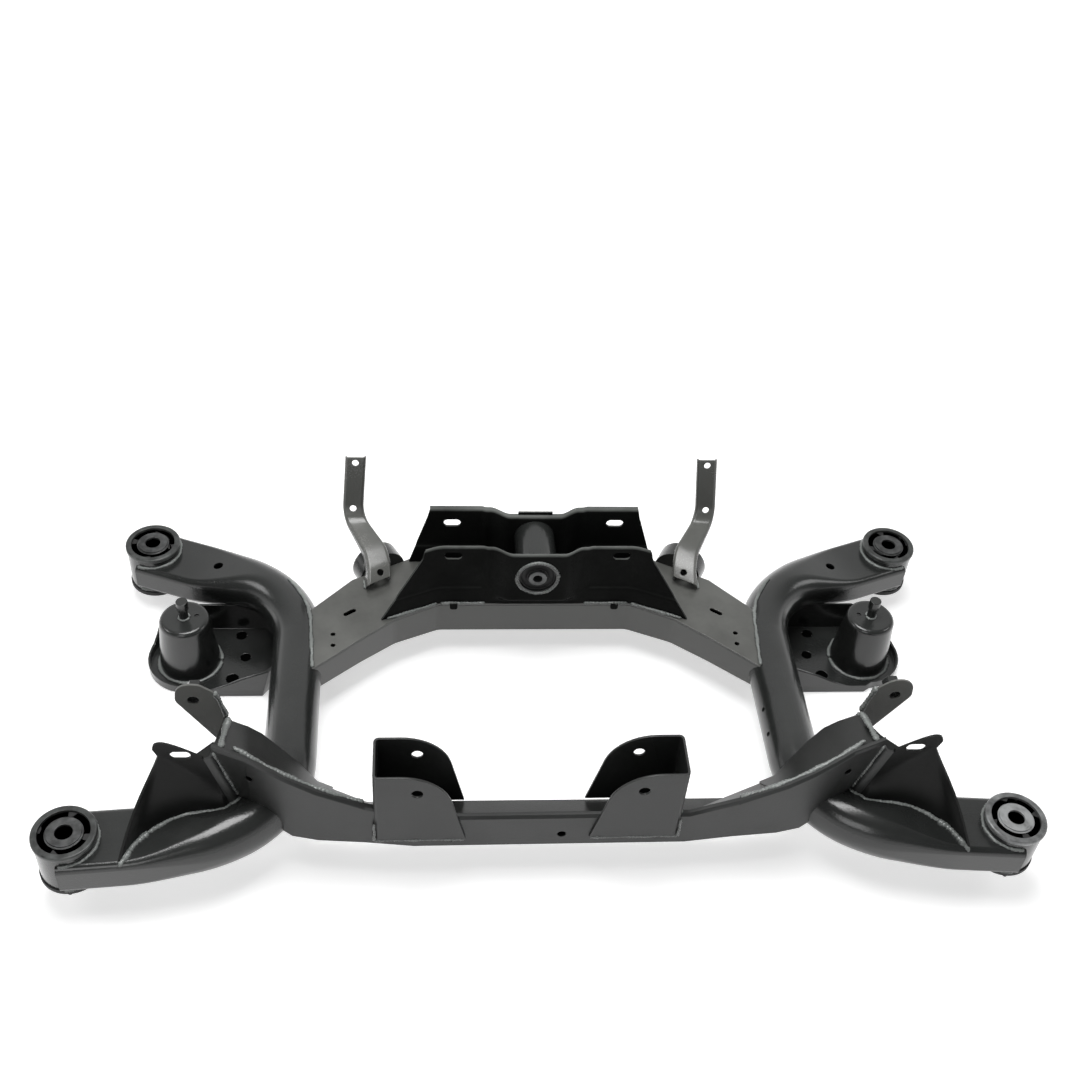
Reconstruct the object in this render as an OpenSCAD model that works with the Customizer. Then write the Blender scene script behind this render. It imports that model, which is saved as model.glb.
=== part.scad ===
// Rear suspension subframe: two bent side tubes joined by a front and a rear crossmember,
// with rubber body bushes, differential mounts, link brackets, stays and spring seats.
// Millimetres. +X is the right side, +Y the back, +Z up.
// Origin: middle of the four body bush axes, on the top plane of the front bushes.

/* [Body mounts] */
// Distance between the front bush axes
front_span = 1090; // [1070:2:1110]
// Distance between the rear bush axes
rear_span = 1034; // [1014:2:1054]
// Distance from the front to the rear bush axes
mount_base = 484; // [476:2:492]
// Height of the front bush tops above the rear ones
rear_drop = 20; // [14:1:26]

/* [Body bushes] */
// Diameter of the flange on top of the bush shell
flange_d = 73; // [70:0.5:76]
// Thickness of that flange
flange_h = 7; // [6:0.5:9]
// Outside diameter of the bush shell below its flange
shell_d = 64; // [60:0.5:66]
// Wall of the bush shell
shell_wall = 3; // [2:0.5:4]
// Diameter of the bored core
core_d = 43; // [38:0.5:46]
// Bolt bore of the core
bore_d = 20; // [14:0.5:24]
// Height of a bush from its top to its lower stop
bush_h = 70; // [66:1:74]
// Height of the rubber stop below the eye
stop_h = 9; // [6:0.5:12]
// Depth of the void around the core
void_depth = 14; // [8:1:20]
// Number of rubber lugs in the void
lug_count = 4; // [2:1:6]
// Wall of the eye that holds a bush
eye_wall = 3; // [2.5:0.5:4]

/* [Side tubes] */
// Outside diameter of the round middle
tube_d = 64; // [60:1:66]
// Wall of the tube
tube_wall = 3; // [2:0.5:4]
// Distance between the two tubes at the back of their straight runs
run_span = 626; // [616:2:636]
// Distance by which the front of each run stands further in
run_taper = 6; // [0:1:10]
// Bend radius at the front
front_bend_r = 110; // [100:2:116]
// Bend radius at the back
rear_bend_r = 125; // [115:5:130]
// Width of the flat front arm
front_arm_w = 82; // [80:1:88]
// Height of the flat front arm
front_arm_h = 44; // [40:1:48]
// Width of the flat rear arm
rear_arm_w = 80; // [78:1:86]
// Height of the flat rear arm
rear_arm_h = 40; // [36:1:44]
// Height by which the round back of the run stands above the rear arm
rear_lift = 8; // [6:0.5:10]
// Depth of the arm tops below the bush tops
arm_drop = 15; // [12:0.5:17]
// Diameter of the hole in the rear arm top
arm_hole_d = 13; // [8:0.5:16]

/* [Front crossmember] */
// Depth of the box from its front face to its back wall
box_depth = 52; // [48:1:56]
// Height of the front face at the middle
box_h = 51; // [46:1:56]
// Sheet thickness of the crossmembers
sheet = 3; // [2:0.5:4]
// Rise of the front face towards each end
end_rise = 84; // [78:1:90]
// Distance that each end is swept back
end_sweep = 38; // [34:1:42]

/* [Differential brackets] */
// Distance from the middle of the pair to each bracket hole
bracket_reach = 128; // [124:1:132]
// Sideways place of the middle of the pair
bracket_shift = -28; // [-32:1:0]
// Height of a bracket above the front bush tops
bracket_top = 74; // [68:1:80]
// Diameter of the bracket bolt holes
bracket_hole_d = 13; // [10:0.5:16]

/* [Link brackets] */
// Distance from the middle to the link bolt axis
link_x = 410; // [406:1:414]
// Height of the link bolt axis
link_z = 78; // [74:1:82]
// Clear width between the two plates
link_gap = 75; // [70:1:78]
// Diameter of the link bolt hole
link_hole_d = 13; // [10:0.5:14]
// Length of the adjusting slot
link_slot = 23; // [20:1:26]
// Width across the flats of the weld nut
nut_af = 19; // [17:0.5:22]
// Length of the weld nut
nut_l = 20; // [14:1:24]

/* [Rear crossmember] */
// Depth of the box at the middle
rear_depth = 98; // [94:1:104]
// Height of the box
rear_h = 51; // [46:1:56]

/* [Differential rear mount] */
// Height of the bush axis above the box
mount_axis = 61; // [58:1:64]
// Outside diameter of the bush housing
housing_d = 54; // [50:1:56]
// Wall of the bush housing
housing_wall = 3; // [2:0.5:4]
// Diameter of the inner sleeve
mount_core_d = 24; // [20:1:28]
// Bolt bore of the inner sleeve
mount_bore_d = 12; // [10:0.5:14]
// Distance between the front and the rear plate
plate_gap = 79; // [74:1:84]
// Forward step of each plate around the bush
joggle = 13; // [10:1:14]

/* [Stays] */
// Width of the stay
stay_w = 28; // [25:1:30]
// Diameter of the stay holes
stay_hole_d = 9; // [6:0.5:10]

/* [Spring seats] */
// Distance from the middle to a spring axis
seat_x = 459; // [455:1:463]
// Place of the spring axis behind the origin
seat_y = 105; // [100:1:110]
// Depth of the tray floor below the front bush tops
seat_depth = 108; // [104:1:110]
// Radius of the tray rim
tray_r = 55; // [52:1:58]
// Diameter of the dome at its base
dome_base_d = 80; // [74:1:84]
// Diameter of the dome at its top
dome_top_d = 65; // [60:1:70]
// Height of the dome
dome_h = 84; // [78:1:88]
// Height of the stud above the dome
stud_h = 30; // [26:1:36]

/* [Hidden] */
$fn = 64;
// Clearance left between pieces that are welded or pressed together
seam = 0.1;
// Margin by which a cut runs past the sheet that it cuts
over = 1;
paint = [0.16, 0.17, 0.17];
paint_dark = [0.11, 0.12, 0.12];
rubber = [0.06, 0.06, 0.06];
steel = [0.55, 0.56, 0.56];

// Smooth step from 0 to 1
function ease(t) = let (c = max(0, min(1, t))) c * c * (3 - 2 * c);
function mix(a, b, t) = a + (b - a) * t;
// Smooth curve through a list of points, at t from 0 to 1
function through(list, t) =
    let (
        n = len(list) - 1,
        i = min(floor(t * n), n - 1),
        u = t * n - i,
        a = list[max(i - 1, 0)],
        b = list[i],
        c = list[i + 1],
        d = list[min(i + 2, n)]
    )
    b + (c - a) * u / 2 + (2 * a - 5 * b + 4 * c - d) * u * u / 2
        + (3 * b - a - 3 * c + d) * u * u * u / 2;

// Solids from grids of points

// Triangles of the surface between two neighbouring rows of points
function band(n, row, next, wrap) = [
    for (j = [0 : n - (wrap ? 1 : 2)])
        let (k = (j + 1) % n)
        each [[row + j, row + k, next + k], [row + j, next + k, next + j]]
];
function flip(faces) = [for (f = faces) [f[2], f[1], f[0]]];

// Solid within closed triangles, all turned the same way, which may face in or out
module closed(points, faces) {
    parts = [for (f = faces) points[f[0]] * cross(points[f[1]], points[f[2]])];
    outward = parts * [for (f = faces) 1] < 0;
    polyhedron(points, outward ? faces : flip(faces));
}

// Solid through rings of points, closed by flat ends
module skin(rings) {
    n = len(rings[0]);
    last = n * (len(rings) - 1);
    closed(
        [for (r = rings) each r],
        concat(
            [for (i = [0 : len(rings) - 2]) each band(n, i * n, (i + 1) * n, true)],
            [for (j = [1 : n - 2]) [0, j + 1, j]],
            [for (j = [1 : n - 2]) [last, last + j, last + j + 1]]
        )
    );
}

// Pipe between outer and inner rings of points, open at both ends
module pipe(outer, inner) {
    n = len(outer[0]);
    m = len(outer);
    all = n * m;
    last = n * (m - 1);
    closed(
        concat([for (r = outer) each r], [for (r = inner) each r]),
        concat(
            [for (i = [0 : m - 2]) each band(n, i * n, (i + 1) * n, true)],
            flip([for (i = [0 : m - 2]) each band(n, all + i * n, all + (i + 1) * n, true)]),
            flip(band(n, 0, all, true)),
            band(n, last, all + last, true)
        )
    );
}

// Sheet between two grids of points with the same rows and columns
module sheet_between(face, back) {
    n = len(face[0]);
    m = len(face);
    all = n * m;
    edge_rows = [[0, all], [n * (m - 1), all + n * (m - 1)]];
    side = function (j) [for (i = [0 : m - 1]) i * n + j];
    closed(
        concat([for (r = face) each r], [for (r = back) each r]),
        concat(
            [for (i = [0 : m - 2]) each band(n, i * n, (i + 1) * n, false)],
            flip([for (i = [0 : m - 2]) each band(n, all + i * n, all + (i + 1) * n, false)]),
            flip(band(n, edge_rows[0][0], edge_rows[0][1], false)),
            band(n, edge_rows[1][0], edge_rows[1][1], false),
            side_band(side(0), all),
            flip(side_band(side(n - 1), all))
        )
    );
}
// Triangles along one side of a sheet
function side_band(ids, all) = [
    for (i = [0 : len(ids) - 2])
        each [[ids[i], ids[i + 1], all + ids[i + 1]], [ids[i], all + ids[i + 1], all + ids[i]]]
];

// Grid of points moved by t along its own normals
function thicken(g, t) = [
    for (i = [0 : len(g) - 1]) [
        for (j = [0 : len(g[0]) - 1])
            let (
                along = g[min(i + 1, len(g) - 1)][j] - g[max(i - 1, 0)][j],
                across = g[i][min(j + 1, len(g[0]) - 1)] - g[i][max(j - 1, 0)],
                normal = cross(along, across)
            )
            g[i][j] + t * normal / norm(normal)
    ]
];

// Open 2D path moved to its left by t, with mitred corners
function left_of(a, b) = let (d = b - a) [-d.y, d.x] / norm(d);
function beside(path, t) = [
    for (i = [0 : len(path) - 1])
        let (
            last = len(path) - 1,
            before = left_of(path[max(i - 1, 0)], path[max(i, 1)]),
            after = left_of(path[min(i, last - 1)], path[min(i + 1, last)])
        )
        path[i] + t * (before + after) / (1 + before * after)
];

// Slot of length l and width w through a sheet, along the local Z axis
module slot(l, w, h) {
    for (s = [-1, 1]) translate([s * (l - w) / 2, 0, 0]) cylinder(d = w, h = h, center = true);
    cube([l - w, w, h], center = true);
}

// Turns the local Z axis to the Y axis of the frame
module along_y() { rotate([-90, 0, 0]) children(); }
// Extrudes an outline given in X and Z along Y, from y0 to y1
module front_view(y0, y1) {
    translate([0, y1, 0]) rotate([90, 0, 0]) linear_extrude(y1 - y0) children();
}
module on_right() { mirror([1, 0, 0]) children(); }

// Side tubes

front_axis = [-front_span / 2, -mount_base / 2];
rear_axis = [-rear_span / 2, mount_base / 2];
front_top = 0;
rear_top = -rear_drop;
front_arm = [front_arm_w, front_arm_h];
rear_arm = [rear_arm_w, rear_arm_h];
// The front arm leads a little back, the rear arm a good deal forward
front_lead = 17;
rear_lead = 77;
run_x = run_span / 2;
front_corner = [run_taper - run_x, front_axis.y + front_lead];
rear_corner = [-run_x, rear_axis.y - rear_lead];
front_heading = atan2(front_corner.y - front_axis.y, front_corner.x - front_axis.x);
rear_heading = atan2(rear_axis.y - rear_corner.y, rear_axis.x - rear_corner.x);
run_heading = atan2(rear_corner.y - front_corner.y, rear_corner.x - front_corner.x);
front_turn = run_heading - front_heading;
rear_turn = rear_heading - run_heading;
front_straight = norm(front_corner - front_axis) - front_bend_r * tan(front_turn / 2);
rear_straight = norm(rear_corner - rear_axis) - rear_bend_r * tan(rear_turn / 2);
front_z = front_top - arm_drop - front_arm.y / 2;
rear_z = rear_top - arm_drop - rear_arm.y / 2;

// The arms reach past the bush axis, so that their walls clasp the eye
eye_reach = 8;
// Length of arm that stays flat, and length over which it grows round
flat_l = 62;
grow_l = 120;
flat_corner_r = 9;
corner_points = 5;
bend_steps = 8;
arm_steps = 5;

function arm_points(axis, heading, straight) = [
    for (i = [0 : arm_steps])
        let (s = mix(-eye_reach, straight, i / arm_steps))
        [axis + s * [cos(heading), sin(heading)], heading, s]
];
function bend_points(start, heading, turn, r, s0) = [
    for (i = [1 : bend_steps])
        let (a = turn * i / bend_steps, h = heading + a)
        [start + r * [sin(h) - sin(heading), cos(heading) - cos(h)], h, s0 + r * a * PI / 180]
];
// Stations of the tube: place, heading, width, height, corner radius
function station(p, z, arm, lift) =
    let (flat = 1 - ease((p[2] - flat_l) / grow_l))
    [
        [p[0].x, p[0].y, z + lift * (1 - flat)], p[1],
        mix(tube_d, arm.x, flat), mix(tube_d, arm.y, flat), mix(tube_d / 2, flat_corner_r, flat)
    ];
front_bend_start = front_axis + front_straight * [cos(front_heading), sin(front_heading)];
front_stations = [
    for (p = concat(
        arm_points(front_axis, front_heading, front_straight),
        bend_points(front_bend_start, front_heading, front_turn, front_bend_r, front_straight)
    )) station(p, front_z, front_arm, 0)
];
// The rear half is laid from its own bush, mirrored back to front, then reversed
rear_start_heading = 180 - rear_heading;
rear_bend_start = rear_axis
    + rear_straight * [cos(rear_start_heading), -sin(rear_start_heading)];
rear_half = [
    for (p = concat(
        arm_points([rear_axis.x, -rear_axis.y], rear_start_heading, rear_straight),
        bend_points([rear_bend_start.x, -rear_bend_start.y], rear_start_heading,
            rear_turn, rear_bend_r, rear_straight)
    )) station([[p[0].x, -p[0].y], 180 - p[1], p[2]], rear_z, rear_arm, rear_lift)
];
stations = concat(front_stations, [for (i = [len(rear_half) - 1 : -1 : 0]) rear_half[i]]);

function round_rect(w, h, r) = [
    for (q = [0 : 3], k = [0 : corner_points - 1])
        let (
            a = 90 * q + 90 * (k + 0.5) / corner_points,
            sx = (q == 0 || q == 3) ? 1 : -1,
            sy = (q < 2) ? 1 : -1
        )
        [sx * (w / 2 - r) + r * cos(a), sy * (h / 2 - r) + r * sin(a)]
];
// Ring of points around a station, grown by g on all sides
function tube_ring(st, g) = [
    for (p = round_rect(st[2] + 2 * g, st[3] + 2 * g, st[4] + g))
        st[0] + [-sin(st[1]) * p.x, cos(st[1]) * p.x, p.y]
];
function tube_rings(first, last, g) = [for (i = [first : last]) tube_ring(stations[i], g)];
last_station = len(stations) - 1;
last_front = len(front_stations) - 1;

// The left tube as a solid, for cutting the sheets that are welded to it
module front_tube_cut(first = 0) { skin(tube_rings(first, last_front + 1, seam)); }
module rear_tube_cut() { skin(tube_rings(last_front, last_station, seam)); }

eye_d = shell_d + 2 * seam + 2 * eye_wall;
rear_arm_top = rear_top - arm_drop;
// Distance of the arm hole from the bush axis
arm_hole_from = 97;
arm_hole_place = rear_axis - arm_hole_from * [cos(rear_heading), sin(rear_heading)];

module side_tube() {
    difference() {
        pipe(tube_rings(0, last_station, 0), tube_rings(0, last_station, -tube_wall));
        translate([front_axis.x, front_axis.y, front_z])
            cylinder(d = eye_d + 2 * seam, h = 2 * front_arm.y, center = true);
        translate([rear_axis.x, rear_axis.y, rear_z])
            cylinder(d = eye_d + 2 * seam, h = 2 * rear_arm.y, center = true);
        translate([arm_hole_place.x, arm_hole_place.y, rear_arm_top - tube_wall])
            cylinder(d = arm_hole_d, h = 4 * tube_wall, center = true);
    }
}
module left_side_tube() { color(paint) side_tube(); }
// Two clip holes on the inner side of the right tube
clip_hole_d = 6;
clip_holes_y = [-95, -55];
module right_side_tube() {
    color(paint) difference() {
        on_right() side_tube();
        for (y = clip_holes_y)
            translate([run_x, y, front_z - tube_d / 8]) rotate([0, -60, 0])
                cylinder(d = clip_hole_d, h = tube_d);
    }
}

// Body bushes

eye_top = -flange_h - seam;
eye_bottom = -bush_h + stop_h;
flange_round = 2.5;
rubber_or = shell_d / 2 - shell_wall - seam;
rubber_ir = core_d / 2 + seam;
rubber_skin = 1;
void_outer_r = rubber_or - rubber_skin;
void_inner_r = rubber_ir + 1.2;
lug_angle = 22;
// Reach of the lower stop past the eye
stop_lip = 1.5;
stop_chamfer = 3;
// Depth of the rubber's top below the top of the bush
rubber_sink = 3;
nib_d = 5;
nib_h = 4;

// Puts a bush at its place: sx -1 is left, sy -1 is front
module at_mount(sx, sy) {
    axis = sy < 0 ? front_axis : rear_axis;
    translate([-sx * axis.x, axis.y, sy < 0 ? front_top : rear_top])
        mirror([sx > 0 ? 1 : 0, 0, 0]) children();
}
module eye() {
    translate([0, 0, eye_bottom]) difference() {
        cylinder(d = eye_d, h = eye_top - eye_bottom);
        translate([0, 0, -over])
            cylinder(d = shell_d + 2 * seam, h = eye_top - eye_bottom + 2 * over);
    }
}
module bush_shell() {
    inner = shell_d / 2 - shell_wall;
    rotate_extrude() {
        translate([inner, eye_bottom]) square([shell_wall, -eye_bottom - flange_h + over]);
        translate([inner, -flange_h]) square([flange_d / 2 - inner - flange_round, flange_h]);
        translate([inner, -flange_h + flange_round])
            square([flange_d / 2 - inner, flange_h - 2 * flange_round]);
        for (z = [-flange_round, flange_round - flange_h])
            translate([flange_d / 2 - flange_round, z]) circle(flange_round);
    }
}
module bush_rubber() {
    stop_r = eye_d / 2 + stop_lip;
    stop_top = eye_bottom - seam;
    difference() {
        rotate_extrude() polygon([
            [rubber_ir, -bush_h], [stop_r - stop_chamfer, -bush_h], [stop_r, stop_chamfer - bush_h],
            [stop_r, stop_top], [rubber_or, stop_top], [rubber_or, -rubber_sink],
            [rubber_ir, -rubber_sink]
        ]);
        for (i = [0 : lug_count - 1])
            rotate(360 * i / lug_count) rotate_extrude(angle = 360 / lug_count - lug_angle)
                translate([void_inner_r, -rubber_sink - void_depth])
                    square([void_outer_r - void_inner_r, void_depth + over]);
    }
    rotate(-70) translate([(rubber_ir + rubber_or) / 2, 0, -bush_h - nib_h])
        cylinder(d = nib_d, h = nib_h + over);
}
module bush_core() {
    rotate_extrude() translate([bore_d / 2, -bush_h]) {
        square([(core_d - bore_d) / 2, bush_h - 2]);
        square([(core_d - bore_d) / 2 - 2, bush_h]);
    }
}
module front_left_eye() { color(paint) at_mount(-1, -1) eye(); }
module front_right_eye() { color(paint) at_mount(1, -1) eye(); }
module rear_left_eye() { color(paint) at_mount(-1, 1) eye(); }
module rear_right_eye() { color(paint) at_mount(1, 1) eye(); }
module front_left_bush_shell() { color(steel) at_mount(-1, -1) bush_shell(); }
module front_right_bush_shell() { color(steel) at_mount(1, -1) bush_shell(); }
module rear_left_bush_shell() { color(steel) at_mount(-1, 1) bush_shell(); }
module rear_right_bush_shell() { color(steel) at_mount(1, 1) bush_shell(); }
module front_left_bush_rubber() { color(rubber) at_mount(-1, -1) bush_rubber(); }
module front_right_bush_rubber() { color(rubber) at_mount(1, -1) bush_rubber(); }
module rear_left_bush_rubber() { color(rubber) at_mount(-1, 1) bush_rubber(); }
module rear_right_bush_rubber() { color(rubber) at_mount(1, 1) bush_rubber(); }
module front_left_bush_core() { color(steel) at_mount(-1, -1) bush_core(); }
module front_right_bush_core() { color(steel) at_mount(1, -1) bush_core(); }
module rear_left_bush_core() { color(steel) at_mount(-1, 1) bush_core(); }
module rear_right_bush_core() { color(steel) at_mount(1, 1) bush_core(); }

// Front crossmember

// Stations along the beam, placed from the run of the side tube
beam_end = run_x + 54;
tube_out = run_x + 32;
tube_mid = run_x + 12;
tube_in = run_x - 13;
sweep_mid = run_x - 43;
straight_half = run_x - 98;
rise_from = run_x - 153;
beam_face_y = front_axis.y + 14;
beam_back_y = beam_face_y + box_depth;
beam_top = -9;
beam_bottom = beam_top - box_h;
cover_drop = 34;
lip_w = 8;
lip_stand = 3;
gusset_from = run_x - 59;
cover_end = run_x - 51;
cover_mid = run_x - 73;
shell_half = [0, rise_from, straight_half, sweep_mid, tube_in, tube_mid, tube_out, beam_end];
function both_ways_off(half) = concat([for (i = [len(half) - 1 : -1 : 0]) -half[i]], half);
function both_ways(half) = concat([for (i = [len(half) - 1 : -1 : 1]) -half[i]], half);
shell_xs = both_ways(shell_half);

// Front face of the box at a distance x from the middle: its place and its top edge
function face_y(x) =
    beam_face_y + end_sweep * pow(max(0, abs(x) - straight_half) / (beam_end - straight_half), 2);
function lip_z(x) =
    beam_top + end_rise * max(0, abs(x) - rise_from) / (beam_end - rise_from);
// Bottom edge: level, a little higher to the sides, then climbing over the side tube
foot_rise = 9;
function foot_z(x) = lookup(abs(x), [
    [rise_from, beam_bottom], [straight_half, beam_bottom + foot_rise],
    [tube_in, beam_bottom + foot_rise - 2], [tube_mid, front_z],
    [tube_out, front_z + tube_d / 2 - 8], [beam_end, front_z + tube_d / 2 - 6]
]);
// The ends lean out with the webs of the link brackets that they are welded to
web_slant = 0.27;
web_mid_z = 16;
function web_at(z) = beam_end + web_slant * (z - web_mid_z);
function lean(x, z) = abs(x) < beam_end ? x : sign(x) * web_at(z);
// Back edge of the sheet that closes the top
gusset_half = [gusset_from, run_x - 41, run_x - 19, run_x + 8, run_x + 27, run_x + 40, beam_end];
tube_top = front_z + tube_d / 2;
function back_y(x) = lookup(abs(x), [
    [straight_half, beam_back_y], [gusset_half[1], beam_back_y + 9],
    [gusset_half[2], beam_back_y + 26], [gusset_half[3], beam_back_y + 52],
    [gusset_half[4], beam_back_y + 63], [beam_end, beam_back_y + 56]
]);
function back_z(x) = lookup(abs(x), [
    [straight_half, beam_top - cover_drop], [gusset_half[1], beam_top - 8],
    [gusset_half[2], tube_top + 1], [gusset_half[3], tube_top + 1],
    [gusset_half[4], tube_top + 11], [beam_end, tube_top + 45]
]);

// Folded section of the front shell: floor, face and rolled lip
function shell_path(x) =
    let (y = face_y(x), floor_l = abs(x) > tube_in ? sheet + 2 : box_depth)
    [
        [y + floor_l, foot_z(x)], [y, foot_z(x)], [y, lip_z(x)],
        [y + lip_w * 0.4, lip_z(x) + 3], [y + lip_w, lip_z(x) + 3]
    ];
// Only the bends meet the crossmember
module both_tubes_cut() {
    front_tube_cut(arm_steps - 1);
    on_right() front_tube_cut(arm_steps - 1);
}
beam_holes = [[-117, beam_bottom + 13, 9], [12, beam_bottom + 20, 10], [101, beam_bottom + 15, 9]];
end_hole = [run_x + 31, 36, 8];
module front_beam_shell() {
    paths = [for (x = shell_xs) shell_path(x)];
    color(paint) difference() {
        sheet_between(
            [for (i = [0 : len(paths) - 1])
                [for (p = paths[i]) [lean(shell_xs[i], p.y), p.x, p.y]]],
            [for (i = [0 : len(paths) - 1])
                [for (p = beside(paths[i], -sheet)) [lean(shell_xs[i], p.y), p.x, p.y]]]
        );
        both_tubes_cut();
        for (h = beam_holes)
            translate([h[0], beam_face_y, h[1]]) along_y() cylinder(d = h[2], h = 20, center = true);
        for (s = [-1, 1])
            translate([s * end_hole[0], face_y(end_hole[0]), end_hole[1]]) along_y()
                cylinder(d = end_hole[2], h = 30, center = true);
    }
}
// Sheet that closes the top and the back of the box
cover_xs = both_ways([0, rise_from, straight_half, cover_mid, cover_end]);
function cover_start(x) = face_y(x) + 2 * sheet + 5 * seam;
function cover_path(x) = [
    [cover_start(x), lip_z(x) - lip_stand],
    [back_y(x), back_z(x)],
    [back_y(x), foot_z(x) + sheet + seam]
];
// Height of the cover's top, or of its continuation past its end
function cover_top(x, y) =
    mix(lip_z(x) - lip_stand, back_z(x), (y - cover_start(x)) / (back_y(x) - cover_start(x)));
// The folded sheet, grown by g on both faces
module cover_sheet(g) {
    grid = function (t) [for (x = cover_xs) [for (p = beside(cover_path(x), t)) [x, p.x, p.y]]];
    sheet_between(grid(-sheet - g), grid(g));
}
module front_beam_cover() {
    color(paint_dark) difference() {
        cover_sheet(0);
        both_tubes_cut();
    }
}
// Gusset that climbs from the cover over the side tube to the link bracket
gusset_seat = 0.5;
function gusset_row(x, lift) =
    let (
        front_y = face_y(x) + lip_w + seam,
        front = [x, front_y, cover_top(x, front_y) + gusset_seat + lift],
        back = [x, back_y(x), back_z(x) + gusset_seat + lift]
    )
    [for (p = [front, back]) [lean(x, p.z), p.y, p.z]];
module end_gusset() {
    difference() {
        sheet_between(
            [for (x = gusset_half) gusset_row(-x, 0)],
            [for (x = gusset_half) gusset_row(-x, sheet)]
        );
        front_tube_cut();
    }
}
module left_end_gusset() { color(paint_dark) end_gusset(); }
module right_end_gusset() { color(paint_dark) on_right() end_gusset(); }

// Differential brackets on the front crossmember

bracket_outer = 49.5;
bracket_fold_r = 6;
bracket_flat = 19;
bracket_curve_r = 60;
bracket_curve = 75;
bracket_inner = 56;
bracket_foot = beam_top - 34;
bracket_hole_z = 45;

// Solid envelope of the box, for seating the brackets on it
function envelope_ring(x) =
    let (
        y0 = face_y(x) - seam / 2,
        y1 = back_y(x) + seam / 2,
        lip_y = face_y(x) + lip_w + seam,
        lip_top = lip_z(x) + lip_stand + seam,
        top_at_lip = cover_top(x, lip_y)
    )
    [
        [x, y0, beam_bottom - over], [x, y1, beam_bottom - over], [x, y1, back_z(x) + seam],
        [x, lip_y, top_at_lip + seam], [x, lip_y, lip_top], [x, y0, lip_top]
    ];
module beam_envelope() {
    skin([for (x = [-straight_half, -rise_from, rise_from, straight_half]) envelope_ring(x)]);
}
// Folded plan of a bracket, with its hole at x = 0 and its web to the left, drawn in by g
fold_step = 22.5;
module bracket_plan_solid(g) {
    y0 = beam_face_y - seam - sheet + g;
    y1 = beam_back_y + seam + sheet - g;
    r = bracket_fold_r - g;
    x0 = g - bracket_outer;
    polygon(concat(
        [[bracket_inner + over + g, y0]],
        [for (a = [0 : fold_step : 90]) [x0 + r - r * sin(a), y0 + r - r * cos(a)]],
        [for (a = [0 : fold_step : 90]) [x0 + r - r * cos(a), y1 - r + r * sin(a)]],
        [[bracket_inner + over + g, y1]]
    ));
}
module bracket_plan() {
    difference() {
        bracket_plan_solid(0);
        bracket_plan_solid(sheet);
    }
}
module bracket_outline() {
    polygon(concat(
        [[bracket_inner, bracket_foot], [-bracket_outer - over, bracket_foot],
            [-bracket_outer - over, bracket_top]],
        [for (a = [0 : 7.5 : bracket_curve])
            [-bracket_flat + bracket_curve_r * sin(a),
                bracket_top - bracket_curve_r * (1 - cos(a))]]
    ));
}
// One bracket at its distance from the middle; side -1 is left
module diff_bracket(side) {
    difference() {
        translate([bracket_shift + side * bracket_reach, 0, 0])
            mirror([side > 0 ? 1 : 0, 0, 0]) difference() {
                intersection() {
                    translate([0, 0, bracket_foot])
                        linear_extrude(bracket_top - bracket_foot) bracket_plan();
                    front_view(beam_face_y - 10, beam_back_y + 10) bracket_outline();
                }
                translate([0, (beam_face_y + beam_back_y) / 2, bracket_hole_z]) along_y()
                    cylinder(d = bracket_hole_d, h = 2 * box_depth, center = true);
            }
        beam_envelope();
        cover_sheet(seam);
    }
}
module left_diff_bracket() { color(paint) diff_bracket(-1); }
module right_diff_bracket() { color(paint) diff_bracket(1); }

// Link brackets

link_front_y = -196;
link_back_y = link_front_y + link_gap;
web_x = -beam_end - seam;
slot_shift = 5;
back_plate_foot = 0;
web_foot = -14;
web_top = 66;
web_back_top = link_z - 31;
// Distance that a sheet reaches into the one that it is joined to
bite = 1;

// Outline of the back plate in X and Z, rounded over the bolt hole
module link_back_outline() {
    inner = function (z) -web_at(z) - seam;
    polygon([
        [-link_x - 21, link_z - 1], [-link_x - 19, link_z + 16], [-link_x - 13, link_z + 24],
        [-link_x - 4, link_z + 27], [-link_x + 8, link_z + 26], [-link_x + 24, link_z + 13],
        [-link_x + 28, link_z - 1], [inner(link_z - 30), link_z - 30],
        [inner(back_plate_foot), back_plate_foot], [web_x - 18, back_plate_foot]
    ]);
}
// Front plate and wing, from the web to the outer edge: top edge, crease and foot,
// measured from the end of the beam and the front plate
wing_top = [[-14, 0, web_top], [-25, 0, 74], [-45, 0, 88], [-61, 0, 97], [-70, 0, 97], [-75, 0, 88]];
wing_crease = [[2, 0, 6], [-21, 0, 22], [-43, 0, 46], [-60, 0, 60], [-70, 0, 68], [-79, -2, 76]];
wing_foot = [[7, -9, -14], [-29, -10, -18], [-63, -20, -20], [-85, -33, -20], [-103, -50, -20],
    [-116, -78, -20]];
wing_bulge = [-3, -3, 0];
wing_steps = 9;
wing_sags = [0.25, 0.5, 0.75];
wing_rows = [
    for (i = [0 : wing_steps])
        let (
            t = i / wing_steps,
            crease = through(wing_crease, t),
            foot = through(wing_foot, t),
            sags = [for (u = wing_sags) mix(crease, foot, u) + wing_bulge * sin(180 * u) * ease(4 * t)]
        )
        [for (p = concat([through(wing_top, t), crease], sags, [foot]))
            p + [-beam_end, link_front_y, 0]]
];
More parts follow.
